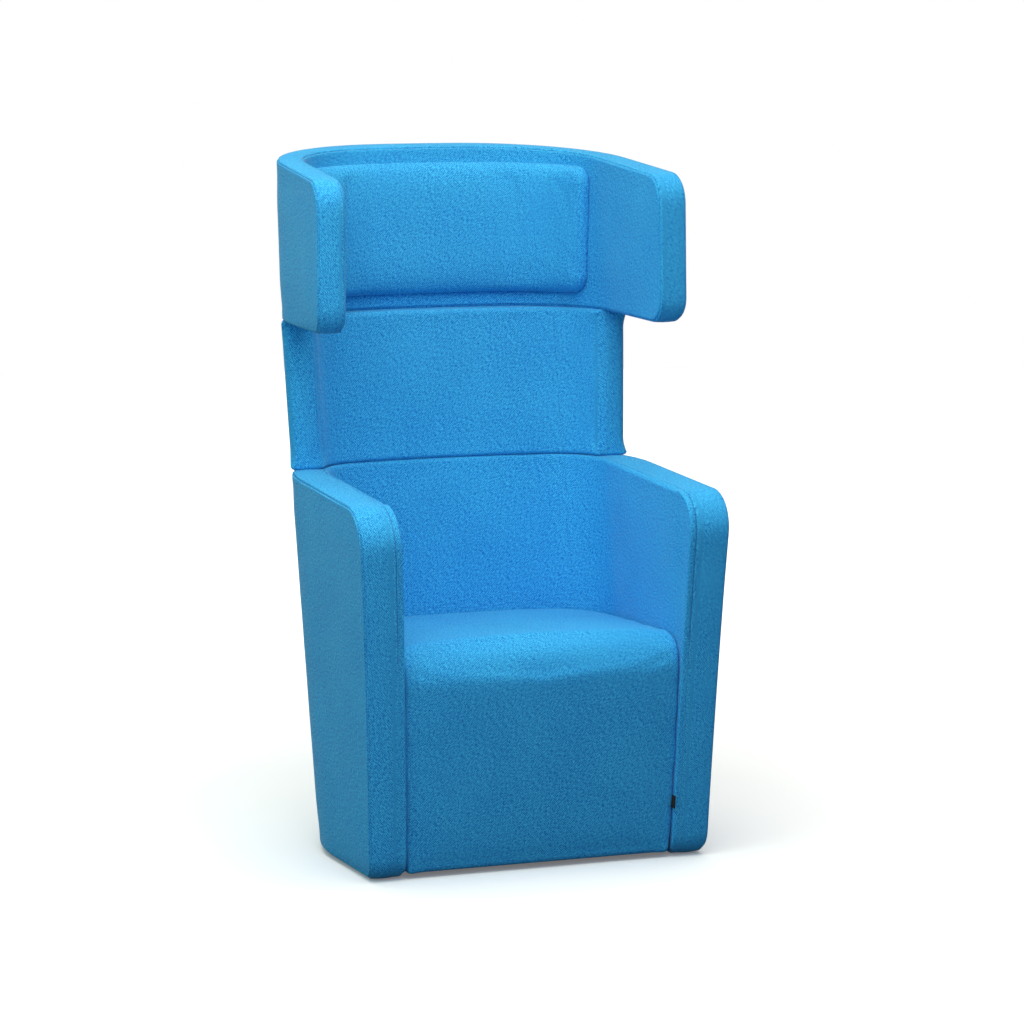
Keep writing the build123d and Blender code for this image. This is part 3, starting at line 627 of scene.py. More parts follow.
hood_skin = build_wall(
    HOOD, "hood_outer_cover", "hood_band", ("hood_inner_cover",) * 3,
    crown_in=1.5, crown_out=2.0, band_crown=1.0, row_crown=1.0, round_out=(6.0, 6.0), round_in=(9.0, 9.0),
    seam_out=1.4, seam_in=0.9,
)
cloth = {}
for skin in (tub_skin, mid_skin, hood_skin):
    cloth.update(skin.pieces())
# the foam that a piece of cloth stands for besides its own cover
UNDER = {
    "arm_panel_right": ["arm_foam_right"], "arm_panel_left": ["arm_foam_left"],
    "tub_back_panel": ["back_foam"], "mid_inner_cover": ["mid_foam"], "hood_inner_cover": ["hood_foam"],
}
for name, ob in cloth.items():
    padded_piece(ob, name, *UNDER.get(name, []))


# ------------ cushions
def copy_nodes(name, nodes):
    bm = bmesh.new()
    for n in nodes:
        bm.from_mesh(frame["nodes"][n].data)
    return to_object(bm, name)


def relax(ob, rounds, weight_of, factor=0.5):
    """Laplacian smoothing with a weight for each vertex."""
    bm = bmesh.new()
    bm.from_mesh(ob.data)
    verts = list(bm.verts)
    ring = [[e.other_vert(v).index for e in v.link_edges] for v in verts]
    weight = [weight_of(v.co) for v in verts]
    pos = [v.co.copy() for v in verts]
    for _ in range(rounds):
        mean = [sum((pos[j] for j in near), Vector()) / max(len(near), 1) for near in ring]
        pos = [p.lerp(m, factor * w) for p, m, w in zip(pos, mean, weight)]
    for v, p in zip(verts, pos):
        v.co = p
    bm.to_mesh(ob.data)
    bm.free()


def puff(ob, pin_of, cap_of, pressure=4.0, frames=20):
    """A short cloth simulation under pressure, with its result applied."""
    start = [v.co.copy() for v in ob.data.vertices]
    group = ob.vertex_groups.new(name="held")
    for v in ob.data.vertices:
        w = pin_of(v.co)
        if w > 0:
            group.add([v.index], w, "REPLACE")
    mod = ob.modifiers.new("cloth", "CLOTH")
    st = mod.settings
    st.quality = 5
    st.mass = 0.3
    st.tension_stiffness = 15
    st.compression_stiffness = 15
    st.shear_stiffness = 5
    st.bending_stiffness = 1.0
    st.use_pressure = True
    st.uniform_pressure_force = pressure
    st.effector_weights.gravity = 0
    st.vertex_group_mass = "held"
    mod.point_cache.frame_start = 1
    mod.point_cache.frame_end = frames
    scene = bpy.context.scene
    for f in range(1, frames + 1):
        scene.frame_set(f)
    dg = bpy.context.evaluated_depsgraph_get()
    me = ob.evaluated_get(dg).to_mesh()
    moved = [v.co.copy() for v in me.vertices]
    ob.evaluated_get(dg).to_mesh_clear()
    ob.modifiers.remove(mod)
    for v, a, b in zip(ob.data.vertices, start, moved):
        d = b - a
        cap = cap_of(a)
        n = d.length
        if n > 1e-9:
            d *= cap * (1 - exp(-n / cap)) / n
        v.co = a + d
    scene.frame_set(1)


def remesh(ob, size):
    """Replaces the object's mesh by one even skin round it."""
    mod = ob.modifiers.new("remesh", "REMESH")
    mod.mode = "VOXEL"
    mod.voxel_size = size
    mod.use_smooth_shade = True
    dg = bpy.context.evaluated_depsgraph_get()
    old, me = ob.data, bpy.data.meshes.new_from_object(ob.evaluated_get(dg))
    ob.modifiers.clear()
    ob.data = me
    bpy.data.meshes.remove(old)


SEAT_INNER = Shell(*TUB_WALL)


def seat_gap(x, y, z):
    """Distance to the nearer arm, whose face is taken no further back than SEAT_SIDE_Y."""
    y = min(y, SEAT_SIDE_Y)
    s = SEAT_INNER.find(1, min(y, SEAT_INNER.end(z)[1]), z)
    return SEAT_INNER.at(s, z)[0] - abs(x)


def behind_front(y, z):
    """Distance behind the leaning front of the tub."""
    return y - (FRONT_Y - tan(radians(FRONT_LEAN)) * z)


seat = copy_nodes("seat_cushion_cloth", ["seat_foam", "front_foam"])
remesh(seat, SEAT_VOXEL * MM)


def seat_edge(co):
    """How much a place is smoothed: most beside the arms and at the toe, less at the front's crisp sides."""
    x, y, z = in_mm(co)
    gap, back = seat_gap(x, y, z), behind_front(y, z)
    crisp = smooth(1 - (back - 25) / 30) * smooth(1 - (gap - 15) / 20) * smooth((SEAT_HEIGHT - 50 - z) / 40)
    return max(smooth(1 - (gap - 4) / 26), smooth(1 - (z - 14) / 26), 0.25) * (1 - 0.75 * crisp)


relax(seat, 10, seat_edge)


def seat_shape(co):
    """The cover's own shape: full front corners beside the arms, and a toe that hangs near the floor."""
    x, y, z = in_mm(co)
    gap, back = seat_gap(x, y, z), behind_front(y, z)
    front = smooth(1 - (back - 20) / 60) * smooth(1 - (gap - 10) / 45)
    full = SEAT_FULL * front * smooth((z - 20) / 60) * smooth((SEAT_HEIGHT + 25 - z) / 40)
    toe = SEAT_TOE_DROP * smooth(1 - (z - 12) / 60) * smooth(1 - (back - 25) / 40)
    return Vector((co.x + (full if x > 0 else -full) * MM, co.y, co.z - toe * MM))


for vert in seat.data.vertices:
    vert.co = seat_shape(vert.co)


def seat_pin(co):
    """How firmly the cover is held: at the box and the base, and less beside the arms and at the toe."""
    x, y, z = in_mm(co)
    if z < 330 and y > -330:
        return 1.0
    if z < 334 and y > FRONT_Y + 30 - 0.07 * z:
        return 1.0
    if seat_gap(x, y, z) < 9:
        return 0.6
    return 0.7 if z < 30 else 0.0


def seat_cap(co):
    return (1.0 + 5.0 * smooth((seat_gap(*in_mm(co)) - 6) / 60)) * MM


puff(seat, seat_pin, seat_cap)


def add_uv(ob, uv_of):
    """Weave coordinates from place, in metres."""
    me = ob.data
    lay = me.uv_layers.new(name="weave")
    normals = [v.normal.copy() for v in me.vertices]
    for poly in me.polygons:
        poly.use_smooth = True
        for li in poly.loop_indices:
            v = me.vertices[me.loops[li].vertex_index]
            lay.data[li].uv = uv_of(v.co, normals[v.index])


def seat_uv(co, n):
    """Up the front, round the nose and back over the top."""
    nose = SEAT_NOSE * MM
    level = (SEAT_HEIGHT - SEAT_NOSE) * MM
    centre = (FRONT_Y + 5) * MM - tan(radians(FRONT_LEAN)) * level + nose
    if abs(n.x) > 0.8:
        return (co.y, co.z)
    if co.z < level:
        return (co.x, co.z)
    if co.y > centre:
        return (co.x, level + nose * pi / 2 + co.y - centre)
    return (co.x, level + nose * atan2(co.z - level, centre - co.y))


add_uv(seat, seat_uv)
sub = seat.modifiers.new("smooth", "SUBSURF")
sub.levels = sub.render_levels = 1
padded_piece(seat, "seat_cover", "seat_foam", "front_foam", fill=0.9)

PAD = Shell(HOOD_WALL[0] + PAD_GAP, HOOD_WALL[1] + PAD_GAP, HOOD_WALL[2] - PAD_GAP, swell=HOOD_SWELL)


def pad_point(s, z, depth):
    """Point on the pad at path distance s, height z and depth from the hood's face."""
    x, y = PAD.at(abs(s), z)
    x2, y2 = PAD.at(abs(s) + 0.5, z)
    t = Vector((x2 - x, y2 - y)).normalized()
    nx, ny = t.y, -t.x
    if nx * x + ny * (y + 200) > 0:
        nx, ny = -nx, -ny
    px, py = x + nx * depth, y + ny * depth
    return (px if s >= 0 else -px, py, z)


def build_pad():
    bm = bmesh.new()
    lu, lv = bm.verts.layers.float.new("wu"), bm.verts.layers.float.new("wv")
    half_s = PAD.find(1, PAD_END_Y, PAD_MID)
    zc, hz = sum(PAD_Z) / 2, (PAD_Z[1] - PAD_Z[0]) / 2
    corner, edge = PAD_CORNER, PAD_EDGE
    seam_s = PAD.find(0, PAD_SEAM_X, PAD_MID)
    cols = sorted(
        {round(m * (seam_s + k * f), 3) for f in SEAM_STEPS[:-1] for m in (-1, 1) for k in (-1, 1)}
        | {round(m * (half_s - edge - f), 3) for f in (3, 6, 9, 12) for m in (-1, 1)}
        | {round(lerp(-seam_s + 14, seam_s - 14, i / 20), 3) for i in range(21)}
        | {round(m * lerp(seam_s + 14, half_s - edge - 18, i / 11), 3) for i in range(12) for m in (-1, 1)}
        | {-half_s + edge, half_s - edge}
    )
    rows = sorted(
        [lerp(-hz + edge + 18, hz - edge - 18, i / 20) for i in range(21)]
        + [m * (hz - edge - f) for f in (0, 3, 6, 9, 12) for m in (-1, 1)]
    )

    def inset(s, z):
        """Distance to the rounded outline, positive inside."""
        dx, dz = half_s - abs(s), hz - abs(z)
        if dx < corner and dz < corner:
            return corner - hypot(corner - dx, corner - dz)
        return min(dx, dz)

    def outline(a, b, q):
        """Point at inset q of the outline in the direction of an inner grid point on the border."""
        hs, hh, r = half_s - q, hz - q, max(corner - q, 1.0)
        s, z = a, b
        if abs(abs(b) - (hz - edge)) < 0.01:
            z = hh if b > 0 else -hh
        if abs(abs(a) - (half_s - edge)) < 0.01:
            s = hs if a > 0 else -hs
        cx, cz = hs - r, hh - r
        if abs(a) > cx and abs(b) > cz:
            dx, dz = abs(a) - cx, abs(b) - cz
            k = r / max(hypot(dx, dz), 1e-6)
            s = (cx + dx * k) * (1 if s > 0 else -1)
            z = (cz + dz * k) * (1 if z > 0 else -1)
        return s, z

    def vert(s, z, depth, wrap=0.0):
        reach = PAD.find(1, PAD_END_Y, zc + z) / half_s
        fall = PAD_SHOULDER * (s / half_s) ** 2 * max(z / hz, 0.0)
        v = bm.verts.new([c * MM for c in pad_point(s * reach, zc + z - fall, depth)])
        over_s = wrap * (abs(s) > half_s - edge) * (1 if s > 0 else -1)
        over_z = wrap * (abs(z) > hz - edge) * (1 if z > 0 else -1)
        v[lu], v[lv] = (s + over_s) * MM, (zc + z + over_z) * MM
        return v

    def crown(s, z):
        seam = min(abs(s - seam_s), abs(s + seam_s))
        groove = 0.9 if seam < 0.4 else 0.2 if seam < 1.2 else -0.1 if seam < 2.5 else 0.0
        d = 2.5 * smooth(inset(s, z) / 70)
        return PAD_THICK + d - groove + billow((s, z, 7.0), 70.0, 0.5)

    face = [[None] * len(cols) for _ in rows]
    for i, z in enumerate(rows):
        for j, s in enumerate(cols):
            on_border = i in (0, len(rows) - 1) or j in (0, len(cols) - 1)
            ss, zz = outline(s, z, edge) if on_border and inset(s, z) < edge else (s, z)
            face[i][j] = vert(ss, zz, crown(ss, zz))
    for i in range(len(rows) - 1):
        for j in range(len(cols) - 1):
            bm.faces.new((face[i][j], face[i][j + 1], face[i + 1][j + 1], face[i + 1][j]))
    border = (
        [(0, j) for j in range(len(cols) - 1)]
        + [(i, len(cols) - 1) for i in range(len(rows) - 1)]
        + [(len(rows) - 1, j) for j in range(len(cols) - 1, 0, -1)]
        + [(i, 0) for i in range(len(rows) - 1, 0, -1)]
    )
    ring = [face[i][j] for i, j in border]
    steps = []
    for k in range(1, 10):
        a = radians(90 * k / 9)
        steps.append((edge * (1 - sin(a)), PAD_THICK - (PAD_THICK - 7.0) * (1 - cos(a))))
    steps += [(0.8, 4.0), (3.0, 1.6)]
    wrap, last_q, last_depth = 0.0, edge, PAD_THICK
    for q, depth in steps:
        wrap += hypot(last_q - q, last_depth - depth) - abs(last_q - q)
        last_q, last_depth = q, depth
        new = []
        for i, j in border:
            s, z = outline(cols[j], rows[i], q)
            new.append(vert(s, z, depth, wrap))
        for a in range(len(ring)):
            b = (a + 1) % len(ring)
            bm.faces.new((ring[a], ring[b], new[b], new[a]))
        ring = new
    back = {}
    for i, z in enumerate(rows):
        for j, s in enumerate(cols):
            if i in (0, len(rows) - 1) or j in (0, len(cols) - 1):
                continue
            back[(i, j)] = vert(s * 0.985, z * 0.985, 0.8)
    for (i, j), v in zip(border, ring):
        back[(i, j)] = v
    for i in range(len(rows) - 1):
        for j in range(len(cols) - 1):
            bm.faces.new((back[i, j], back[i + 1, j], back[i + 1, j + 1], back[i, j + 1]))
    bmesh.ops.recalc_face_normals(bm, faces=bm.faces)
    return to_object(bm, "pad_cushion_cloth", uv=True)


pad = build_pad()


def pad_back(co):
    """Depth of a point from the hood's face, in millimetres."""
    x, y, z = in_mm(co)
    return PAD.at(PAD.find(0, min(abs(x), 300.0), z), z)[1] - y


puff(pad, lambda co: 1.0 if pad_back(co) < 14 else 0.0, lambda co: 4.0 * MM, pressure=3.0)
padded_piece(pad, "pad_cover", "pad_foam", "pad_board", fill=0.9)


# ------------ thin pieces
def build_tag():
    """The folded tag in the seam beside the seat: one looped profile at each of 13 heights."""
    bm = bmesh.new()
    lu, lv = bm.verts.layers.float.new("wu"), bm.verts.layers.float.new("wv")
    lo, hi = [[c / MM for c in corner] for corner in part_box("seam_tag")]
    lines = []
    for i in range(13):
        z = lerp(lo[2], hi[2], i / 12)
        middle = (lo[0] + hi[0]) / 2 + 0.034 * (z - (lo[2] + hi[2]) / 2)
        tip = lo[1] - 0.07 * (z - lo[2]) + 0.6
        path = [(-0.45, hi[1]), (-0.45, lerp(hi[1], tip, 0.45)), (-0.7, tip + 5), (-1.15, tip + 2.6)]
        path += [(-cos(a), tip + 1.0 - 1.1 * sin(a)) for a in [radians(18 * k) for k in range(11)]]
        path += [(1.15, tip + 2.6), (0.7, tip + 5), (0.45, lerp(hi[1], tip, 0.45)), (0.45, hi[1])]
        line, run = [], 0.0
        for (x, y), (x0, y0) in zip(path, path[:1] + path):
            run += hypot(x - x0, y - y0)
            v = bm.verts.new([c * MM for c in (middle + x * 0.75, y, z)])
            v[lu], v[lv] = run * MM, z * MM
            line.append(v)
        lines.append(line)
    for low, high in zip(lines, lines[1:]):
        for quad in zip(low, low[1:], high[1:], high):
            bm.faces.new(quad)
    ob = to_object(bm, "seam_tag_loop", uv=True)
    mod = ob.modifiers.new("thickness", "SOLIDIFY")
    mod.thickness = 0.5 * MM
    mod.offset = 0
    return ob


tag = build_tag()
piece(tag, "tag_fabric", "seam_tag")

# dust cover under the seat and the back
dust = copy_nodes("dust_cover_cloth", ["dust_cover"])
add_uv(dust, lambda co, n: (co.x, co.y))
piece(dust, "lining_fabric", "dust_cover")


# ------------ stitching
def stitches(name, paths, tree, length=3.6, gap=1.4, width=0.75, height=0.55):
    """Thread dashes laid on the cloth along paths in millimetres."""
    bm = bmesh.new()
    shape = [(-0.5, 0.35), (-0.28, 0.9), (0.28, 0.9), (0.5, 0.35)]
    for path in paths:
        pts = [Vector(p) * MM for p in path]
        snapped = []
        for p in pts:
            hit, normal, _, _ = tree.find_nearest(p)
            if hit is not None:
                snapped.append((hit, normal))
        if len(snapped) < 2:
            continue
        cum = [0.0]
        for a, b in zip(snapped, snapped[1:]):
            cum.append(cum[-1] + (b[0] - a[0]).length)
        total, step = cum[-1], (length + gap) * MM
        count = int(total / step)
        seg = 0

        def at(d):
            nonlocal seg
            while seg < len(cum) - 2 and cum[seg + 1] < d:
                seg += 1
            while seg > 0 and cum[seg] > d:
                seg -= 1
            f = (d - cum[seg]) / max(cum[seg + 1] - cum[seg], 1e-9)
            a, b = snapped[seg], snapped[seg + 1]
            return a[0].lerp(b[0], f), a[1].lerp(b[1], f).normalized()

        for n in range(count):
            start = n * step
            rings = []
            for k in range(4):
                f = k / 3
                p, nrm = at(start + f * length * MM)
                p2, _ = at(start + f * length * MM + 0.0004)
                along = (p2 - p).normalized()
                side = along.cross(nrm).normalized()
                swell, lift = ((0.35, -0.25), (1.0, 0.0), (1.0, 0.0), (0.35, -0.25))[k]
                ring = []
                for a, b in shape:
                    out = nrm * ((b * height * swell + lift) * MM)
                    ring.append(bm.verts.new(p + side * (a * width * swell * MM) + out))
                rings.append(ring)
            for r1, r2 in zip(rings, rings[1:]):
                for q in range(3):
                    bm.faces.new((r1[q], r1[q + 1], r2[q + 1], r2[q]))
            bm.faces.new(rings[0][::-1])
            bm.faces.new(rings[-1])
    bmesh.ops.recalc_face_normals(bm, faces=bm.faces)
    ob = to_object(bm, name)
    piece(ob, "upholstery_fabric")
    return ob


def rim_path(wall, side, w):
    """Line round a wall's rim, at distance w from its outer or inner edge."""
    pts = []
    for a, b in zip(*wall.loop(0.0)):
        po, pi_ = Vector(a[:3]), Vector(b[:3])
        across = (pi_ - po).normalized()
        pts.append(po + across * w if side == "o" else pi_ - across * w)
    return pts + [pts[0]]


def above_seat(path):
    """The part of a rim line that isn't hidden beside the seat."""
    return [p for p in path if p.z > SEAT_HEIGHT - 20]


tub_lines = [rim_path(TUB, "o", 4.4), above_seat(rim_path(TUB, "i", 10.0))]
stitching = [
    stitches("tub_stitching", tub_lines, tub_skin.tree()),
    stitches("hood_stitching", [rim_path(HOOD, "o", 4.8)], hood_skin.tree()),
]
for skin in (tub_skin, mid_skin, hood_skin):
    skin.bm.free()


# ------------ materials
def new_material(name):
    mat = bpy.data.materials.new(name)
    mat.use_nodes = True
    nt = mat.node_tree
    return mat, nt, nt.nodes["Principled BSDF"]


def node(nt, kind, **values):
    n = nt.nodes.new(kind)
    for key, value in values.items():
        if key.startswith("in_"):
            n.inputs[key[3:].replace("_", " ")].default_value = value
        else:
            setattr(n, key, value)
    return n


def set_inputs(shader, **values):
    """Sets inputs by name, with _ for each space."""
    for key, value in values.items():
        shader.inputs[key.replace("_", " ")].default_value = value


def math(nt, op, a, b=None, c=None):
    n = node(nt, "ShaderNodeMath", operation=op)
    for i, v in enumerate((a, b, c)):
        if v is None:
            continue
        if isinstance(v, (int, float)):
            n.inputs[i].default_value = v
        else:
            nt.links.new(v, n.inputs[i])
    return n.outputs[0]


def mix_color(nt, fac, a, b):
    """Colour a where the factor is 0, b where it is 1."""
    n = node(nt, "ShaderNodeMix", data_type="RGBA")
    nt.links.new(fac, n.inputs[0])
    n.inputs[6].default_value, n.inputs[7].default_value = a, b
    return n.outputs[2]


def seen(nt):
    """1 for the rays that see a surface, 0 for those that light others from it."""
    ray = node(nt, "ShaderNodeLightPath")
    mask = math(nt, "MAXIMUM", ray.outputs["Is Camera Ray"], ray.outputs["Is Glossy Ray"])
    return math(nt, "MAXIMUM", mask, ray.outputs["Is Transmission Ray"])


def ramp(nt, value, stops):
    n = node(nt, "ShaderNodeValToRGB")
    els = n.color_ramp.elements
    while len(els) < len(stops):
        els.new(0.5)
    for el, (pos, col) in zip(els, stops):
        el.position = pos
        el.color = col
    nt.links.new(value, n.inputs[0])
    return n.outputs[0]


def weave_fabric(name, dark, light, pitch, sheen, tint, contrast=1.0):
    """Basket-woven wool cloth: yarns over and under, slubs along the weft, soft mottling."""
    mat, nt, bsdf = new_material(name)
    uv = node(nt, "ShaderNodeUVMap", uv_map="weave")
    warp_noise = node(nt, "ShaderNodeTexNoise", noise_dimensions="2D", in_Scale=160.0, in_Detail=2.0)
    nt.links.new(uv.outputs[0], warp_noise.inputs["Vector"])
    push = node(nt, "ShaderNodeVectorMath", operation="MULTIPLY_ADD")
    nt.links.new(warp_noise.outputs["Color"], push.inputs[0])
    push.inputs[1].default_value = (0.0011, 0.0011, 0)
    nt.links.new(uv.outputs[0], push.inputs[2])
    split = node(nt, "ShaderNodeSeparateXYZ")
    nt.links.new(push.outputs[0], split.inputs[0])
    u = math(nt, "MULTIPLY", split.outputs[0], pi / pitch)
    v = math(nt, "MULTIPLY", split.outputs[1], pi / pitch)
    su, sv = math(nt, "SINE", u), math(nt, "SINE", v)
    cross = math(nt, "MULTIPLY", su, sv)
    over_n = node(nt, "ShaderNodeClamp")
    nt.links.new(math(nt, "MULTIPLY_ADD", cross, 2.2, 0.5), over_n.inputs[0])
    pick = over_n.outputs[0]
    a = math(nt, "MULTIPLY", math(nt, "ABSOLUTE", su), pick)
    b = math(nt, "MULTIPLY", math(nt, "ABSOLUTE", sv), math(nt, "SUBTRACT", 1.0, pick))
    height = math(nt, "ADD", a, b)
    fibre = node(nt, "ShaderNodeTexNoise", noise_dimensions="2D", in_Scale=900.0, in_Detail=3.0)
    fibre.inputs["Roughness"].default_value = 0.7
    nt.links.new(uv.outputs[0], fibre.inputs["Vector"])
    height2 = math(nt, "MULTIPLY_ADD", fibre.outputs["Fac"], 0.45, height)

    def streaks(scale, detail=1.0, turn=0.0):
        turned = node(nt, "ShaderNodeMapping", in_Rotation=(0, 0, radians(turn)))
        nt.links.new(uv.outputs[0], turned.inputs[0])
        place = node(nt, "ShaderNodeMapping", in_Scale=scale)
        nt.links.new(turned.outputs[0], place.inputs[0])
        tex = node(nt, "ShaderNodeTexNoise", noise_dimensions="2D", in_Scale=1.0, in_Detail=detail)
        nt.links.new(place.outputs[0], tex.inputs["Vector"])
        return math(nt, "SUBTRACT", tex.outputs["Fac"], 0.5)

    # the threads, their height, slanting slubs, specks and slow mottling, each with its weight
    layers = (
        (cross, 0.30), (math(nt, "SUBTRACT", height, 0.6), 0.18),
        (streaks((150.0, 480.0, 1.0), turn=-38.0), 1.0),
        (streaks((400.0, 400.0, 1.0)), 0.95), (streaks((9.0, 9.0, 1.0), 3.0), 0.12),
    )
    tone = math(nt, "MULTIPLY", fibre.outputs["Fac"], 0.2)
    tone = math(nt, "ADD", tone, 0.4)
    for source, weight in layers:
        tone = math(nt, "MULTIPLY_ADD", source, weight * contrast, tone)
    color = ramp(nt, tone, [(0.0, dark), (1.0, light)])
    nt.links.new(color, bsdf.inputs["Base Color"])
    set_inputs(bsdf, Roughness=0.9, Specular_IOR_Level=0.15)
    set_inputs(bsdf, Sheen_Weight=sheen, Sheen_Roughness=0.14, Sheen_Tint=tint)
    bmp = node(nt, "ShaderNodeBump", in_Strength=0.6, in_Distance=0.0006)
    nt.links.new(height2, bmp.inputs["Height"])
    nt.links.new(bmp.outputs[0], bsdf.inputs["Normal"])
    return mat


def grainy(name, dark, light, scale, rough, metallic=0.0, stretch=(1, 1, 1), bump=0.2):
    """Noise-varied material on object coordinates for plastics, metal, wood and foam."""
    mat, nt, bsdf = new_material(name)
    tc = node(nt, "ShaderNodeTexCoord")
    mp = node(nt, "ShaderNodeMapping", in_Scale=stretch)
    nt.links.new(tc.outputs["Object"], mp.inputs[0])
    tex = node(nt, "ShaderNodeTexNoise", in_Scale=scale, in_Detail=4.0, in_Roughness=0.6)
    nt.links.new(mp.outputs[0], tex.inputs["Vector"])
    nt.links.new(ramp(nt, tex.outputs["Fac"], [(0.3, dark), (0.7, light)]), bsdf.inputs["Base Color"])
    mr = node(nt, "ShaderNodeMapRange", in_To_Min=rough[0], in_To_Max=rough[1])
    nt.links.new(tex.outputs["Fac"], mr.inputs["Value"])
    nt.links.new(mr.outputs[0], bsdf.inputs["Roughness"])
    set_inputs(bsdf, Metallic=metallic)
    bmp = node(nt, "ShaderNodeBump", in_Strength=bump, in_Distance=0.0003)
    nt.links.new(tex.outputs["Fac"], bmp.inputs["Height"])
    nt.links.new(bmp.outputs[0], bsdf.inputs["Normal"])
    return mat


WHITE = (1.0, 1.0, 1.0, 1.0)
AZURE = weave_fabric(
    "azure_weave", (0.006, 0.150, 0.560, 1), (0.090, 0.680, 1.0, 1),
    pitch=0.0024, sheen=0.5, tint=(0.66, 0.92, 1.0, 1.0), contrast=1.55,
)
THREAD = grainy("azure_thread", (0.010, 0.12, 0.32, 1), (0.020, 0.20, 0.46, 1), 2500, rough=(0.7, 0.85))
BLACK_TAPE = weave_fabric(
    "black_tape", (0.004, 0.004, 0.005, 1), (0.03, 0.03, 0.034, 1), pitch=0.0005, sheen=0.1, tint=WHITE
)
DUST = weave_fabric(
    "black_nonwoven", (0.010, 0.010, 0.011, 1), (0.035, 0.035, 0.037, 1), pitch=0.0016, sheen=0.1, tint=WHITE
)
FOAM = grainy("seating_foam", (0.62, 0.58, 0.44, 1), (0.78, 0.75, 0.62, 1), 700, rough=(0.85, 0.95), bump=0.6)
PLY = grainy(
    "birch_plywood", (0.46, 0.31, 0.17, 1), (0.62, 0.46, 0.28, 1), 22, rough=(0.5, 0.65), stretch=(1, 1, 9)
)
# near-black plywood for the base board: painted shade, so that its edges, where they show below the cloth,
# read as the shade beneath the chair
SHADE_BLACK_PLY = grainy(
    "shade_black_plywood", (0.012, 0.012, 0.014, 1), (0.024, 0.024, 0.028, 1), 60, rough=(0.7, 0.85),
    stretch=(1, 1, 9),
)
STEEL = grainy(
    "zinc_plate", (0.42, 0.42, 0.40, 1), (0.58, 0.58, 0.55, 1), 120, rough=(0.25, 0.4), metallic=1.0
)
COAT = grainy("black_powder_coat", (0.02, 0.02, 0.02, 1), (0.035, 0.035, 0.035, 1), 900, rough=(0.45, 0.6))
NYLON = grainy("black_nylon", (0.018, 0.018, 0.018, 1), (0.03, 0.03, 0.03, 1), 400, rough=(0.4, 0.55))
WEBBING = grainy(
    "seat_webbing", (0.03, 0.03, 0.03, 1), (0.10, 0.10, 0.10, 1), 60, rough=(0.8, 0.9), stretch=(1, 22, 1)
)
SLOTS = {
    "upholstery_fabric": AZURE, "lining_fabric": DUST, "tag_fabric": BLACK_TAPE, "strap_webbing": WEBBING,
    "foam": FOAM, "plywood": PLY, "painted_steel": COAT, "zinc_steel": STEEL, "glide_plastic": NYLON,
}


def paint(ob, mat):
    ob.data.materials.clear()
    ob.data.materials.append(mat)


slot_of = {p["node"]: p["material_slot"] for p in frame["record"]["subparts"]}
# the base board takes the near-black painted-shade plywood instead of its own plywood colour
for name, ob in frame["nodes"].items():
    for i in range(max(1, len(ob.material_slots))):
        if ob.material_slots:
            ob.material_slots[i].link = "OBJECT"
            ob.material_slots[i].material = SHADE_BLACK_PLY if name == "base_board" else SLOTS[slot_of[name]]
for ob in list(cloth.values()) + [seat, pad]:
    paint(ob, AZURE)
for ob in stitching:
    paint(ob, THREAD)
paint(tag, BLACK_TAPE)
paint(dust, DUST)

# ------------ stage, light and camera
bpy.ops.mesh.primitive_circle_add(vertices=96, radius=9, fill_type="NGON", location=(0, 0, 0))
floor = bpy.context.object
floor.name = "floor"
fmat, nt, bsdf = new_material("pale_floor")
mask = seen(nt)
nt.links.new(mix_color(nt, mask, (0.12, 0.12, 0.12, 1), (0.93, 0.90, 0.88, 1)), bsdf.inputs["Base Color"])
set_inputs(bsdf, Roughness=0.9, Specular_IOR_Level=0.0, Emission_Color=WHITE)
place = node(nt, "ShaderNodeNewGeometry")
away = node(nt, "ShaderNodeVectorMath", operation="LENGTH")
nt.links.new(place.outputs["Position"], away.inputs[0])
glow = node(nt, "ShaderNodeMapRange", in_From_Min=0.7, in_From_Max=2.6, in_To_Min=0.15, in_To_Max=0.55)
nt.links.new(away.outputs["Value"], glow.inputs["Value"])
nt.links.new(math(nt, "MULTIPLY", mask, glow.outputs[0]), bsdf.inputs["Emission Strength"])
paint(floor, fmat)

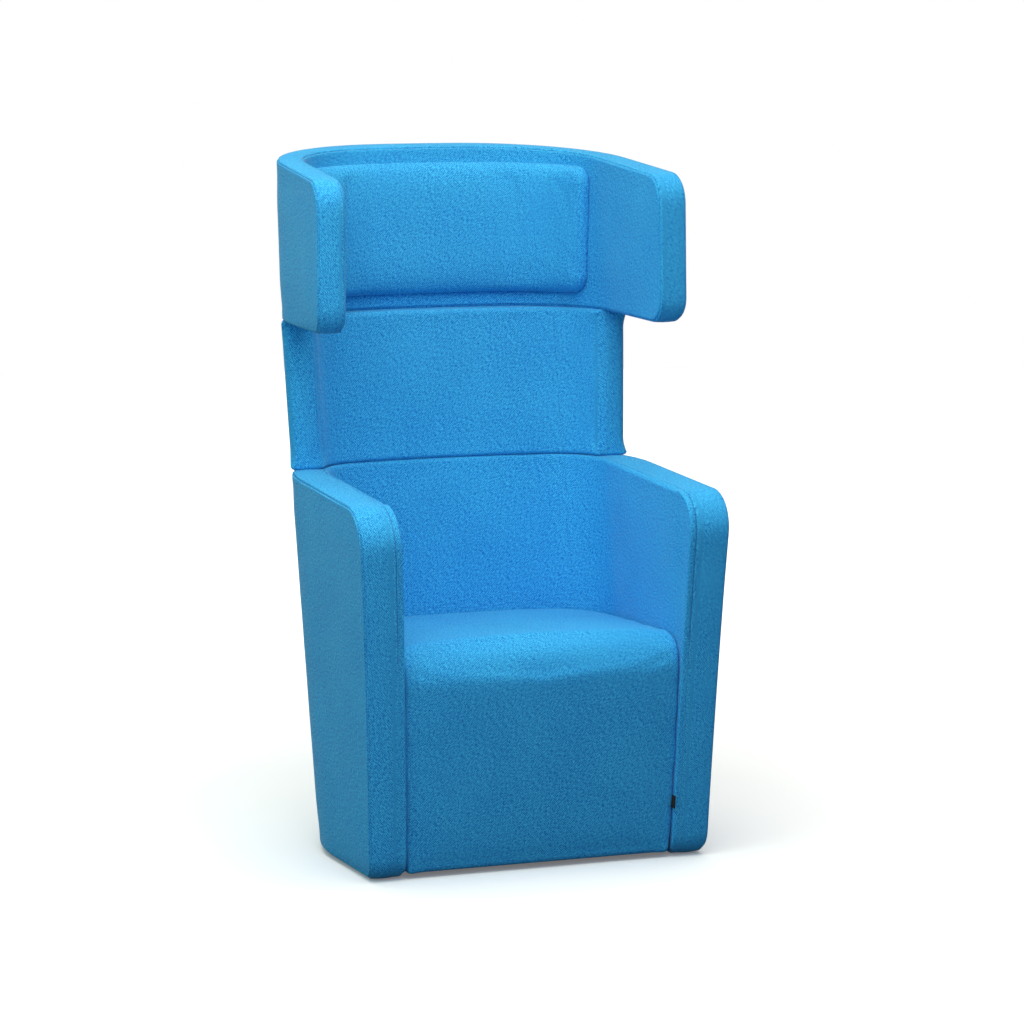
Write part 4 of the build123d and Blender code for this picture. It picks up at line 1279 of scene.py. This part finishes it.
world = bpy.data.worlds.new("studio")
bpy.context.scene.world = world
world.use_nodes = True
wn = world.node_tree
bg = wn.nodes["Background"]
set_inputs(bg, Color=(0.50, 0.92, 1.0, 1), Strength=0.22)
white = node(wn, "ShaderNodeBackground", in_Color=WHITE, in_Strength=1.0)
mixer = wn.nodes.new("ShaderNodeMixShader")
wn.links.new(seen(wn), mixer.inputs[0])
wn.links.new(bg.outputs[0], mixer.inputs[1])
wn.links.new(white.outputs[0], mixer.inputs[2])
wn.links.new(mixer.outputs[0], wn.nodes["World Output"].inputs["Surface"])


def area(name, place, aim, size, power, color):
    """A square light aimed at a point."""
    data = bpy.data.lights.new(name, "AREA")
    data.shape = "RECTANGLE"
    data.size = data.size_y = size
    data.energy = power
    data.color = color
    ob = add_object(name, data)
    ob.location = place
    ob.rotation_euler = (Vector(aim) - Vector(place)).to_track_quat("-Z", "Y").to_euler()


sun_data = bpy.data.lights.new("overhead", "SUN")
sun_data.energy = 2.05
sun_data.color = (1.0, 0.93, 0.87)
sun_data.angle = radians(70)
add_object("overhead", sun_data).rotation_euler = (radians(-14), radians(6), 0)
area("key", (-0.5, -1.1, 2.75), (0, 0, 0.7), 2.2, 35, color=(1.0, 1.0, 0.92))
area("fill", (-3.2, -1.4, 1.9), (0, 0, 0.7), 2.0, 25, color=(0.42, 0.97, 1.0))
area("front", (-0.9, -3.7, 1.8), (0.1, -0.3, 0.6), 2.2, 27, color=(0.60, 0.58, 1.0))

# the camera fitted to the photograph: place in metres, angles in degrees, focal length in its pixels
CAMERA_PLACE = (-2.267, -6.720, 1.660)
CAMERA_YAW, CAMERA_DOWN, CAMERA_ROLL = 19.1937, 8.1651, -0.1601
FOCAL_PIXELS, PHOTO_PIXELS, SENSOR = 3600, 1024, 36
cam_data = bpy.data.cameras.new("camera")
cam_data.sensor_width = SENSOR
cam_data.lens = FOCAL_PIXELS / PHOTO_PIXELS * SENSOR
cam_data.clip_end = 60
cam = add_object("camera", cam_data)
yaw, pitch, roll = radians(CAMERA_YAW), radians(CAMERA_DOWN), radians(CAMERA_ROLL)
forward = Vector((sin(yaw) * cos(pitch), cos(yaw) * cos(pitch), -sin(pitch)))
level = Vector((cos(yaw), -sin(yaw), 0))
up = level.cross(forward)
right = level * cos(roll) + up * sin(roll)
over = up * cos(roll) - level * sin(roll)
turn = Matrix((right, over, -forward)).transposed()
cam.matrix_world = Matrix.Translation(CAMERA_PLACE) @ turn.to_4x4()
bpy.context.scene.camera = cam
bpy.context.scene.view_settings.view_transform = "Standard"
